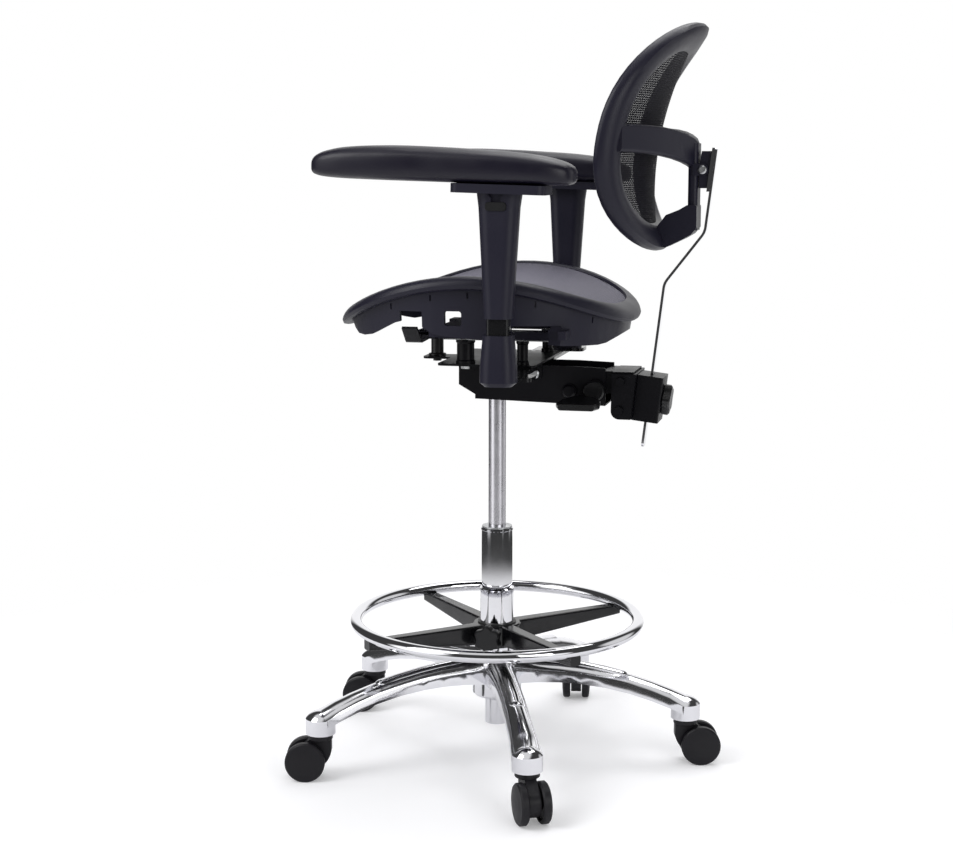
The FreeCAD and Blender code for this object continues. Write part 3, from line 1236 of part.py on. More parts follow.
def back_arm():
    """Folded arm on the pivot bolt inside the housing, with the wide block that the bracket is bolted to."""
    front = PIVOT_Y - 17
    neck_outline = [(front, PIVOT_Z + 14), (HOUSING_REAR, BACK_ARM_TOP), (BACK_BLOCK_FRONT + 2, BACK_ARM_TOP),
                    (BACK_BLOCK_FRONT + 2, PIVOT_Z - 2), (front, PIVOT_Z - 14)]
    neck = prism_x(neck_outline, -BACK_ARM_HALF, BACK_ARM_HALF)
    half = HOUSING_HALF + 0.4
    wide = prism_x([(BACK_BLOCK_FRONT, BACK_ARM_TOP), (BACK_ARM_REAR, BACK_ARM_TOP),
                    (BACK_ARM_REAR - 8, BACK_ARM_LOW), (BACK_BLOCK_FRONT, BACK_ARM_LOW)], -half, half)
    body = joined([neck, wide])
    inner = BACK_ARM_HALF - BRACKET_SHEET
    room = block((-inner, inner), (front - 1, BACK_ARM_REAR - 14),
                 (BACK_ARM_LOW - 1, BACK_ARM_TOP - BRACKET_SHEET))
    body = body.cut(room)
    body = body.cut(rod_x(PIVOT_Y, PIVOT_Z, PIVOT_RADIUS + RUN_FIT, -HOUSING_HALF, HOUSING_HALF))
    for y, z in BRACKET_BOLTS:
        body = body.cut(rod_x(y, z, BOLT_RADIUS + RUN_FIT, -half - 1, half + 1))
    return body


BRACKET_INNER = HOUSING_HALF + 0.5
BRACKET_OUTER = BRACKET_INNER + BRACKET_SHEET


def back_bracket():
    """Bent plate with two ears over the arm block, and the box that guides the bar."""
    top_rear = BACK_ARM_REAR + 0.3
    low_rear = BACK_ARM_REAR - 8 + 0.3
    front = BACK_BLOCK_FRONT - 1
    ear_outline = [(front + 2, BACK_ARM_TOP - 3), (top_rear + BRACKET_SHEET, BACK_ARM_TOP - 3),
                   (low_rear + BRACKET_SHEET, BACK_ARM_LOW - 6), (front, BACK_ARM_LOW - 6)]
    pieces = []
    for side in (1, -1):
        low, high = sorted((side * BRACKET_INNER, side * BRACKET_OUTER))
        ear = prism_x(ear_outline, low, high)
        corner = [edge for edge in ear.Edges if abs(edge.CenterOfMass.y - front) < 0.1
                  and abs(edge.CenterOfMass.z - (BACK_ARM_LOW - 6)) < 0.1]
        pieces.append(ear.makeFillet(13, corner))
    web = prism_x([(top_rear, BACK_ARM_TOP - 3), (top_rear + BRACKET_SHEET, BACK_ARM_TOP - 3),
                   (low_rear + BRACKET_SHEET, BACK_ARM_LOW - 6), (low_rear, BACK_ARM_LOW - 6)],
                  -BRACKET_OUTER, BRACKET_OUTER)
    pieces.append(web)
    box = Part.makeBox(2 * GUIDE_BOX_HALF, GUIDE_BOX_DEPTH, GUIDE_BOX_HEIGHT,
                       Vector(-GUIDE_BOX_HALF, -GUIDE_BOX_DEPTH / 2, -GUIDE_BOX_HEIGHT / 2))
    box = rounded_along(box, Z_AXIS, 3)
    tilt = Placement(GUIDE_CENTRE, Rotation(Z_AXIS, BAR_RUN))
    pieces.append(moved(box, tilt))
    body = joined(pieces)
    slot_corner = Vector(-BAR_WIDTH / 2 - SLIDE_GAP, -BAR_THICK / 2 - SLIDE_GAP, -1.5 * GUIDE_BOX_HEIGHT)
    slot = Part.makeBox(BAR_WIDTH + 2 * SLIDE_GAP, BAR_THICK + 2 * SLIDE_GAP, 3 * GUIDE_BOX_HEIGHT,
                        slot_corner)
    body = body.cut(moved(slot, tilt))
    stud = Part.makeCylinder(BOLT_RADIUS + RUN_FIT, GUIDE_BOX_DEPTH, GUIDE_CENTRE, BAR_NORMAL)
    body = body.cut(stud)
    for y, z in BRACKET_BOLTS:
        body = body.cut(rod_x(y, z, BOLT_RADIUS + RUN_FIT, -BRACKET_OUTER - 1, BRACKET_OUTER + 1))
    return body


def back_bracket_bolts():
    solids = []
    for y, z in BRACKET_BOLTS:
        for side in (1, -1):
            length = BRACKET_OUTER - BACK_ARM_HALF + BRACKET_SHEET + 4
            bolt = hex_bolt(BOLT_HEAD, BOLT_HEAD_HEIGHT, BOLT_RADIUS, length)
            place = Placement(Vector(side * BRACKET_OUTER, y, z), Rotation(Z_AXIS, X_AXIS * -side))
            solids.append(moved(bolt, place))
    return Part.Compound(solids)


TOP_RUN = Vector(0, BAR_POINTS[3][0] - BAR_POINTS[2][0], BAR_POINTS[3][1] - BAR_POINTS[2][1]).normalize()


def bar_front_face(height):
    """Where the front face of the bar's top run lies at one height."""
    share = (height - BAR_POINTS[2][1]) / (BAR_POINTS[3][1] - BAR_POINTS[2][1])
    return BAR_POINTS[2][0] + share * (BAR_POINTS[3][0] - BAR_POINTS[2][0]) - BAR_THICK / 2 / TOP_RUN.z


def back_bar():
    """Flat spring-steel bar with two bends, and the plate welded to its top for the pivot block."""
    strip = bent_strip(BAR_POINTS, BAR_THICK, BAR_BEND, Y_AXIS, Z_AXIS, X_AXIS * BAR_WIDTH)
    strip = shifted(strip, -BAR_WIDTH / 2, 0, 0)
    ends = [edge for edge in strip.Edges if edge.Length < BAR_THICK + 0.1
            and abs(edge.tangentAt(edge.FirstParameter).dot(X_AXIS)) < 0.01]
    width, low, high, thick = BAR_PLATE
    outline = [(bar_front_face(low) + 1, low), (bar_front_face(high) + 1, high),
               (bar_front_face(high) - thick, high), (bar_front_face(low) - thick, low)]
    return joined([strip.makeFillet(6, ends), prism_x(outline, -width / 2, width / 2)])


BLOCK_NOSE = BACK_PIVOT_Y - SPINE_REAR - 0.6


def pivot_block():
    """Wedge screwed to the bar, with a rounded nose round the pin so that the back can tip."""
    high = BACK_PIVOT_Z + BLOCK_HALF_HEIGHT
    low = BACK_PIVOT_Z - BLOCK_HALF_HEIGHT
    seat = SEAT_GAP + BAR_PLATE[3]
    outline = [(bar_front_face(low) - seat, low), (bar_front_face(high) - seat, high),
               (BACK_PIVOT_Y - BLOCK_NOSE + 4.6, high), (BACK_PIVOT_Y - BLOCK_NOSE, BACK_PIVOT_Z + 2),
               (BACK_PIVOT_Y - BLOCK_NOSE, BACK_PIVOT_Z - 2), (BACK_PIVOT_Y - BLOCK_NOSE + 1.4, low)]
    body = prism_x(outline, -BLOCK_HALF, BLOCK_HALF)
    hole = rod_x(BACK_PIVOT_Y, BACK_PIVOT_Z, BACK_PIN_RADIUS + RUN_FIT, -BLOCK_HALF - 1, BLOCK_HALF + 1)
    return body.cut(hole)


LUG_INNER = BLOCK_HALF + SLIDE_GAP
LUG_OUTER = LUG_INNER + 6.0
LUG_RADIUS = 9.0


def pivot_pin():
    head = BACK_PIN_RADIUS + 2.5
    return cross_bolt(BACK_PIVOT_Y, BACK_PIVOT_Z, BACK_PIN_RADIUS, head, LUG_OUTER + SEAT_GAP, 3)


def bar_knob():
    start = GUIDE_BOX_DEPTH / 2 + SLIDE_GAP
    stud = start - BAR_THICK / 2 - SLIDE_GAP
    knob = lobed_knob(BAR_KNOB_RADIUS, 5, BAR_KNOB_DEPTH, BOLT_RADIUS, stud)
    return moved(knob, Placement(GUIDE_CENTRE + BAR_NORMAL * start, Rotation(Z_AXIS, BAR_NORMAL)))


BACK_MID = (BACK_LOW + BACK_HIGH) / 2
BACK_HALF_HEIGHT = (BACK_HIGH - BACK_LOW) / 2


def back_surface(x, z):
    """Depth of the back's front surface: wrapped across, leaning away above and below its waist."""
    lean = BACK_LEAN_ABOVE if z > BACK_WAIST_Z else BACK_LEAN_BELOW
    wrap = BACK_WRAP_RADIUS - math.sqrt(BACK_WRAP_RADIUS ** 2 - x ** 2)
    return BACK_WAIST_Y + lean * (z - BACK_WAIST_Z) ** 2 - wrap


def back_point(turn, inset, depth):
    x, z = oval(turn, BACK_HALF_WIDTH - inset, BACK_HALF_HEIGHT - inset, BACK_SQUARENESS)
    return Vector(x, back_surface(x, BACK_MID + z) + depth, BACK_MID + z)


def back_ring_half():
    """The +X half of the oval rim, lofted from the bottom round the side to the top."""
    inner = BACK_RIM_WIDTH
    shape = [(0, 10), (0.8, 5), (3, 1), (7, -2), (12, -3), (24, -1), (inner - 4, 3),
             (inner, BACK_MESH_SET + 1), (inner - 4, 18), (26, 23), (12, 25), (5, 23), (1.2, 17)]
    sections = []
    for turn in RING_TURNS:
        sections.append(closed_outline([back_point(turn, inset, depth) for inset, depth in shape]))
    return Part.makeLoft(sections, True, True)


def back_bow_half():
    """The arm that sweeps from the side of the rim back to the spine."""
    reach = BACK_HALF_WIDTH - BACK_RIM_WIDTH / 2
    start = back_surface(reach, BACK_MID) + 19
    finish = (SPINE_FRONT + SPINE_REAR) / 2
    sections = []
    for share in (1.0, 0.85, 0.7, 0.55, 0.4, 0.25, 0.12, 0.0):
        x = reach * share
        y = finish - (finish - start) * share ** 1.4
        z = BOW_OUTER_Z - BOW_DROP * (1 - share) ** 2.2
        height = BOW_HEIGHT + 6 * (1 - share)
        sections.append(rounded_rectangle(Vector(x, y, z), Y_AXIS, Z_AXIS, BOW_THICK, height, 6.0))
    return Part.makeLoft(sections, True, True)


def back_frame():
    half = back_ring_half().fuse(back_bow_half())
    spine = block((-SPINE_HALF, SPINE_HALF), (SPINE_FRONT, SPINE_REAR), (SPINE_LOW, SPINE_HIGH))
    spine = rounded_along(spine, Z_AXIS, 6)
    foot_y = back_surface(0, BACK_LOW) + 8
    lower = prism_x([(foot_y, BACK_LOW + 14), (foot_y + 3, BACK_LOW + 38), (foot_y + 16, BACK_LOW + 55),
                     (foot_y + 36, BACK_LOW + 63), (SPINE_FRONT, BACK_LOW + 70), (SPINE_REAR, BACK_LOW + 70),
                     (SPINE_REAR, SPINE_LOW + 4), (SPINE_REAR - 8, SPINE_LOW - 6),
                     (foot_y + 42, BACK_LOW + 18), (foot_y + 15, BACK_LOW + 5)], -SPINE_HALF - 8, SPINE_HALF + 8)
    lower = rounded_along(lower, X_AXIS, 3)
    body = half.fuse(mirrored(half)).fuse(spine).fuse(lower)
    for side in (1, -1):
        low, high = sorted((side * LUG_INNER, side * LUG_OUTER))
        lug = block((low, high), (SPINE_REAR - 8, BACK_PIVOT_Y),
                    (BACK_PIVOT_Z - LUG_RADIUS, BACK_PIVOT_Z + LUG_RADIUS))
        body = body.fuse(lug).fuse(rod_x(BACK_PIVOT_Y, BACK_PIVOT_Z, LUG_RADIUS, low, high))
    body = body.removeSplitter()
    hole = rod_x(BACK_PIVOT_Y, BACK_PIVOT_Z, BACK_PIN_RADIUS + RUN_FIT, -LUG_OUTER - 1, LUG_OUTER + 1)
    return body.cut(hole)


def back_mesh():
    """Woven sheet stretched across the oval."""
    inset = BACK_RIM_WIDTH + SOFT_GAP
    rows = []
    for i in range(11):
        x = BACK_HALF_WIDTH * (-1 + 2 * i / 10)
        row = []
        for j in range(13):
            z = BACK_LOW + (BACK_HIGH - BACK_LOW) * j / 12
            row.append(Vector(x, back_surface(x, z) + BACK_MESH_SET, z))
        rows.append(row)
    surface = Part.BSplineSurface()
    surface.interpolate(rows)
    sheet = surface.toShape().extrude(Y_AXIS * BACK_MESH_THICK)
    rim = [back_point(turn, inset, 0) for turn in RING_TURNS]
    rim += [Vector(-point.x, point.y, point.z) for point in rim[-2:0:-1]]
    cutter = Part.Face(closed_outline([Vector(point.x, 0, point.z) for point in rim])).extrude(Y_AXIS * 600)
    return sheet.common(cutter)


# The whole chair

PARTS["star_base"] = star_base()
stems = []
for number in range(ARM_COUNT):
    place = caster_place(number)
    stems.append(moved(caster_stem(), place))
    PARTS[f"caster_hood_{number + 1}"] = moved(caster_hood(), place)
    PARTS[f"caster_wheel_{number + 1}_a"] = moved(caster_wheel(1), place)
    PARTS[f"caster_wheel_{number + 1}_b"] = moved(caster_wheel(-1), place)
PARTS["caster_stems"] = Part.Compound(stems)
for make in (column_tube, column_guide_bush, thrust_bearing, piston_rod, column_clip, gas_cylinder,
             release_pin, foot_ring_bush, foot_ring_hoop, foot_ring_spider, foot_ring_knob,
             mechanism_housing, back_pivot_bolt, tilt_pin, back_lock_lever, height_lever, seat_plate,
             seat_spacers, seat_rails, seat_plate_bolts, tension_knob, seat_frame, seat_mesh,
             seat_slide_lever, back_arm, back_bracket, back_bracket_bolts, back_bar, pivot_block,
             pivot_pin, bar_knob, back_frame, back_mesh):
    PARTS[make.__name__] = make()
for make in (arm_bracket, arm_socket, arm_sleeve, arm_trigger, arm_pad):
    left = make()
    PARTS[make.__name__ + "_left"] = left
    PARTS[make.__name__ + "_right"] = mirrored(left)

os.makedirs("parts", exist_ok=True)
for name, shape in PARTS.items():
    shape.exportStep(f"parts/{name}.step")
    state = "valid" if shape.isValid() else "NOT VALID"
    print(name, len(shape.Solids), state, round(shape.Volume / 1000, 2), "cm3")
print(len(PARTS), "nodes")
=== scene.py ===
import math

import bpy
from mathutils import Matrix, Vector


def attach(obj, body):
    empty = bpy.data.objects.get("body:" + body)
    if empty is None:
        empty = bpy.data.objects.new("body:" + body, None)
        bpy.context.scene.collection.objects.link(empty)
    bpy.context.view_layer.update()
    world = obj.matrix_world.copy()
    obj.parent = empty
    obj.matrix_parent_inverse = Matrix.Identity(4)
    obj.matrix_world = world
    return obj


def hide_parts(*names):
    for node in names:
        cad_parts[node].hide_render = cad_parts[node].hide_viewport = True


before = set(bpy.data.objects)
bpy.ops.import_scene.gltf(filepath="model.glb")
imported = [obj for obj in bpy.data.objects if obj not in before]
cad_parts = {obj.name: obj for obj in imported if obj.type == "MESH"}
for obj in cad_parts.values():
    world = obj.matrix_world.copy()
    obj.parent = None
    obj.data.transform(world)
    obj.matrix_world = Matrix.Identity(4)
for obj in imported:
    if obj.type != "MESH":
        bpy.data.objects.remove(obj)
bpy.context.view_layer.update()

# Five-arm base
# One aluminium casting, polished and chrome plated. The hub is bored with a taper that the column
# wedges into, and each arm ends in a boss for a caster stem.

def new_material(name, colour, roughness, metallic=0.0):
    material = bpy.data.materials.new(name)
    material.use_nodes = True
    shader = material.node_tree.nodes["Principled BSDF"]
    shader.inputs["Base Color"].default_value = (*colour, 1.0)
    shader.inputs["Roughness"].default_value = roughness
    shader.inputs["Metallic"].default_value = metallic
    return material, material.node_tree, shader


def new_group(name, inputs, outputs):
    tree = bpy.data.node_groups.new(name, "ShaderNodeTree")
    for label, value in inputs:
        socket = tree.interface.new_socket(label, in_out="INPUT", socket_type="NodeSocketFloat")
        socket.default_value = value
    for label, kind in outputs:
        tree.interface.new_socket(label, in_out="OUTPUT", socket_type=kind)
    return tree, tree.nodes.new("NodeGroupInput"), tree.nodes.new("NodeGroupOutput")


def cloudy_gloss(tree, given, place, detail):
    """Noise spread from the group's Low to its High, as a roughness that changes over the surface."""
    cloud = tree.nodes.new("ShaderNodeTexNoise")
    cloud.inputs["Detail"].default_value = detail
    spread = tree.nodes.new("ShaderNodeMapRange")
    spread.inputs["From Min"].default_value = 0.3
    spread.inputs["From Max"].default_value = 0.7
    tree.links.new(place.outputs["Object"], cloud.inputs["Vector"])
    tree.links.new(cloud.outputs["Fac"], spread.inputs["Value"])
    tree.links.new(given.outputs["Low"], spread.inputs["To Min"])
    tree.links.new(given.outputs["High"], spread.inputs["To Max"])
    return cloud, spread.outputs["Result"]


def smudge_group():
    """Soft cloudy change of gloss, as hands and cloths leave on a smooth surface."""
    tree, given, result = new_group("gloss_smudges", [("Scale", 20.0), ("Low", 0.05), ("High", 0.12)],
                                    [("Roughness", "NodeSocketFloat")])
    place = tree.nodes.new("ShaderNodeTexCoord")
    cloud, gloss = cloudy_gloss(tree, given, place, 4.0)
    tree.links.new(given.outputs["Scale"], cloud.inputs["Scale"])
    tree.links.new(gloss, result.inputs["Roughness"])
    return tree


GLOSS_SMUDGES = smudge_group()


def add_smudges(tree, shader, scale, low, high):
    node = tree.nodes.new("ShaderNodeGroup")
    node.node_tree = GLOSS_SMUDGES
    node.inputs["Scale"].default_value = scale
    node.inputs["Low"].default_value = low
    node.inputs["High"].default_value = high
    tree.links.new(node.outputs["Roughness"], shader.inputs["Roughness"])


def smooth_shading_tree():
    """Joins the loose facets of a machined or moulded piece and shades it smooth up to an edge angle."""
    tree = bpy.data.node_groups.new("smooth_up_to_edge", "GeometryNodeTree")
    tree.interface.new_socket("Geometry", in_out="INPUT", socket_type="NodeSocketGeometry")
    edge = tree.interface.new_socket("Edge Angle", in_out="INPUT", socket_type="NodeSocketFloat")
    edge.default_value = math.radians(32)
    tree.interface.new_socket("Geometry", in_out="OUTPUT", socket_type="NodeSocketGeometry")
    given = tree.nodes.new("NodeGroupInput")
    result = tree.nodes.new("NodeGroupOutput")
    clear = tree.nodes.new("GeometryNodeRemoveAttribute")
    clear.inputs["Name"].default_value = "custom_normal"
    merge = tree.nodes.new("GeometryNodeMergeByDistance")
    merge.inputs["Distance"].default_value = 0.00001
    soft = tree.nodes.new("GeometryNodeSetShadeSmooth")
    angle = tree.nodes.new("GeometryNodeInputMeshEdgeAngle")
    compare = tree.nodes.new("FunctionNodeCompare")
    compare.operation = "GREATER_THAN"
    sharp = tree.nodes.new("GeometryNodeSetShadeSmooth")
    sharp.domain = "EDGE"
    sharp.inputs["Shade Smooth"].default_value = False
    tree.links.new(given.outputs["Geometry"], clear.inputs["Geometry"])
    tree.links.new(clear.outputs["Geometry"], merge.inputs["Geometry"])
    tree.links.new(merge.outputs["Geometry"], soft.inputs["Geometry"])
    tree.links.new(soft.outputs["Geometry"], sharp.inputs["Geometry"])
    tree.links.new(angle.outputs["Unsigned Angle"], compare.inputs["A"])
    tree.links.new(given.outputs["Edge Angle"], compare.inputs["B"])
    tree.links.new(compare.outputs["Result"], sharp.inputs["Selection"])
    tree.links.new(sharp.outputs["Geometry"], result.inputs["Geometry"])
    return tree


SMOOTH_UP_TO_EDGE = smooth_shading_tree()


def finish_node(name, material):
    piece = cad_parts[name]
    for slot in piece.material_slots:
        slot.material = material
    shading = piece.modifiers.new("smooth_up_to_edge", "NODES")
    shading.node_group = SMOOTH_UP_TO_EDGE
    return piece


cast_chrome, cast_tree, cast_shader = new_material("cast_chrome", (0.82, 0.82, 0.85), 0.12, 1.0)
add_smudges(cast_tree, cast_shader, 14.0, 0.09, 0.16)
finish_node("star_base", cast_chrome)

# Casters
# Twin-wheel casters of black nylon. A hood turns on a steel stem in the base, and two blind wheels
# roll on the axle through it.

def textured_group(name, scale, low, high, cell_feature, cloud_scale, cloud_detail):
    """Fine cells as a height, with a cloudy change of gloss, for a moulded surface."""
    tree, given, result = new_group(name, [("Scale", scale), ("Low", low), ("High", high)],
                                    [("Height", "NodeSocketFloat"), ("Roughness", "NodeSocketFloat")])
    place = tree.nodes.new("ShaderNodeTexCoord")
    cells = tree.nodes.new("ShaderNodeTexVoronoi")
    cells.feature = cell_feature
    cloud, gloss = cloudy_gloss(tree, given, place, cloud_detail)
    cloud.inputs["Scale"].default_value = cloud_scale
    tree.links.new(place.outputs["Object"], cells.inputs["Vector"])
    tree.links.new(given.outputs["Scale"], cells.inputs["Scale"])
    tree.links.new(cells.outputs["Distance"], result.inputs["Height"])
    tree.links.new(gloss, result.inputs["Roughness"])
    return tree


def add_texture(tree, shader, group, scale, depth, strength, low, high):
    """Places a texture group in a material: its height as bump, its gloss as roughness."""
    node = tree.nodes.new("ShaderNodeGroup")
    node.node_tree = group
    node.inputs["Scale"].default_value = scale
    node.inputs["Low"].default_value = low
    node.inputs["High"].default_value = high
    bump = tree.nodes.new("ShaderNodeBump")
    bump.inputs["Distance"].default_value = depth
    bump.inputs["Strength"].default_value = strength
    tree.links.new(node.outputs["Height"], bump.inputs["Height"])
    tree.links.new(bump.outputs["Normal"], shader.inputs["Normal"])
    tree.links.new(node.outputs["Roughness"], shader.inputs["Roughness"])


MOULDED_GRAIN = textured_group("moulded_grain", 900.0, 0.38, 0.5, "F1", 9.0, 5.0)


def add_grain(tree, shader, scale, depth, low, high):
    add_texture(tree, shader, MOULDED_GRAIN, scale, depth, 0.6, low, high)


caster_black, caster_tree, caster_shader = new_material("caster_nylon", (0.008, 0.0075, 0.010), 0.45)
caster_shader.inputs["Specular IOR Level"].default_value = 0.3
add_grain(caster_tree, caster_shader, 700.0, 0.0001, 0.4, 0.55)
zinc, zinc_tree, zinc_shader = new_material("zinc_steel", (0.56, 0.57, 0.58), 0.3, 1.0)
add_smudges(zinc_tree, zinc_shader, 60.0, 0.22, 0.42)
finish_node("caster_stems", zinc)
for number in range(1, 6):
    finish_node(f"caster_hood_{number}", caster_black)
    for side in "ab":
        finish_node(f"caster_wheel_{number}_{side}", caster_black)

# Column and gas spring
# A chromed steel column stands in the hub. The ground rod of the gas spring slides in a plated guide
# bush at its top, and a bearing and a clip at its foot let it turn.

chrome, chrome_tree, chrome_shader = new_material("chrome_plate", (0.80, 0.80, 0.83), 0.04, 1.0)
add_smudges(chrome_tree, chrome_shader, 14.0, 0.02, 0.07)
rod_steel, rod_tree, rod_shader = new_material("ground_rod", (0.82, 0.81, 0.86), 0.28, 1.0)
add_smudges(rod_tree, rod_shader, 40.0, 0.26, 0.31)
bush_black, bush_tree, bush_shader = new_material("bush_nylon", (0.02, 0.02, 0.021), 0.5)
add_grain(bush_tree, bush_shader, 900.0, 0.00005, 0.42, 0.55)
finish_node("column_tube", chrome)
finish_node("gas_cylinder", rod_steel)
finish_node("column_guide_bush", zinc)
for name in ("thrust_bearing", "piston_rod", "column_clip", "release_pin"):
    finish_node(name, zinc)

# Foot ring
# A chromed steel hoop welded to four black channel spokes. Its hub slides on the column over a nylon
# bush and is clamped by a lobed knob.

black_paint, paint_tree, paint_shader = new_material("black_powder_coat", (0.003, 0.0028, 0.0045), 0.4)
paint_shader.inputs["Specular IOR Level"].default_value = 0.2
add_grain(paint_tree, paint_shader, 1400.0, 0.00006, 0.3, 0.44)
knob_black, knob_tree, knob_shader = new_material("knob_plastic", (0.005, 0.005, 0.006), 0.3)
add_grain(knob_tree, knob_shader, 1000.0, 0.00004, 0.26, 0.4)
spoke_black, spoke_tree, spoke_shader = new_material("spoke_enamel", (0.004, 0.004, 0.005), 0.2)
add_smudges(spoke_tree, spoke_shader, 25.0, 0.14, 0.26)
finish_node("foot_ring_hoop", chrome)
finish_node("foot_ring_spider", spoke_black)
finish_node("foot_ring_bush", bush_black)
finish_node("foot_ring_knob", knob_black)

# Mechanism under the seat
# A folded steel housing on top of the gas spring, powder coated black, with the pivots of the seat
# and back across it and two moulded paddle levers.

for name in ("mechanism_housing", "back_pivot_bolt", "back_arm", "back_bracket", "back_bracket_bolts"):
    finish_node(name, black_paint)
for name in ("height_lever", "back_lock_lever", "bar_knob", "tension_knob"):
    finish_node(name, knob_black)
for name in ("tilt_pin", "seat_plate_bolts", "seat_rails"):
    finish_node(name, zinc)
for name in ("seat_plate", "seat_spacers", "seat_slide_lever"):
    finish_node(name, black_paint)

# Seat
# A moulded frame with a rolled rim, and an open elastic weave stretched inside it.

frame_black, frame_tree, frame_shader = new_material("frame_plastic", (0.0108, 0.0100, 0.0215), 0.42)
frame_shader.inputs["Specular IOR Level"].default_value = 0.3
add_grain(frame_tree, frame_shader, 800.0, 0.00009, 0.36, 0.48)
finish_node("seat_frame", frame_black)

# Seat weave
# Flat elastic yarns cross over and under each other and are clamped in the rim all round. The sheet
# follows the rim's curve from front to back and dips a little where the sitter's weight goes.

SEAT_HALF_WIDTH = 0.238
SEAT_HALF_DEPTH = 0.230
SEAT_MID_Y = -0.006
SEAT_SQUARENESS = 2.6
SEAT_RIM = 0.025
SEAT_TUCK = 0.0225
SEAT_CREST_Y = 0.005
SEAT_CREST_Z = 0.7915
SEAT_ROLL = 1.27
SEAT_DIP = 0.014
YARN_PITCH = 0.0032
NARROW_YARN = 0.0018
WIDE_YARN = 0.0030
YARN_ARCH = 0.0003
CROSSING_RISE = 0.0004


def inside_oval(a, b, half_a, half_b, squareness):
    return abs(a / half_a) ** squareness + abs(b / half_b) ** squareness <= 1.0


def seat_sheet(x, y):
    """Height of the stretched sheet over one point of the seat."""
    across = x / (SEAT_HALF_WIDTH - SEAT_RIM)
    along = (y - SEAT_MID_Y) / (SEAT_HALF_DEPTH - SEAT_RIM)
    dip = SEAT_DIP * max(0.0, 1 - across ** 2) * max(0.0, 1 - along ** 2)
    return Vector((x, y, SEAT_CREST_Z - SEAT_ROLL * (y - SEAT_CREST_Y) ** 2 - dip))


def loom(name, surface, half_a, half_b, middle, pitch, squareness):
    """Crossing points of the yarns on a sheet, joined by edges that run along each yarn."""
    count_a = int(half_a / pitch)
    count_b = int(half_b / pitch)
    index = {}
    points = []
    normals = []
    lifts = []
    for i in range(-count_a, count_a + 1):
        for j in range(-count_b, count_b + 1):
            a = i * pitch
            b = j * pitch
            if inside_oval(a, b, half_a, half_b, squareness):
                index[i, j] = len(points)
                point = surface(a, middle + b)
                along_a = surface(a + 0.001, middle + b) - point
                along_b = surface(a, middle + b + 0.001) - point
                points.append(point)
                normals.append(along_a.cross(along_b).normalized())
                lifts.append(1.0 if (i + j) % 2 else -1.0)
    edges = []
    warp = []
    for (i, j), here in index.items():
        for step, is_warp in (((1, 0), False), ((0, 1), True)):
            there = index.get((i + step[0], j + step[1]))
            if there is not None:
                edges.append((here, there))
                warp.append(is_warp)
    mesh = bpy.data.meshes.new(name)
    mesh.from_pydata(points, edges, [])
    mesh.attributes.new("lift", "FLOAT", "POINT").data.foreach_set("value", lifts)
    flat_normals = [value for normal in normals for value in normal]
    mesh.attributes.new("sheet_normal", "FLOAT_VECTOR", "POINT").data.foreach_set("vector", flat_normals)
    mesh.attributes.new("warp", "BOOLEAN", "EDGE").data.foreach_set("value", warp)
    piece = bpy.data.objects.new(name, mesh)
    bpy.context.scene.collection.objects.link(piece)
    return piece


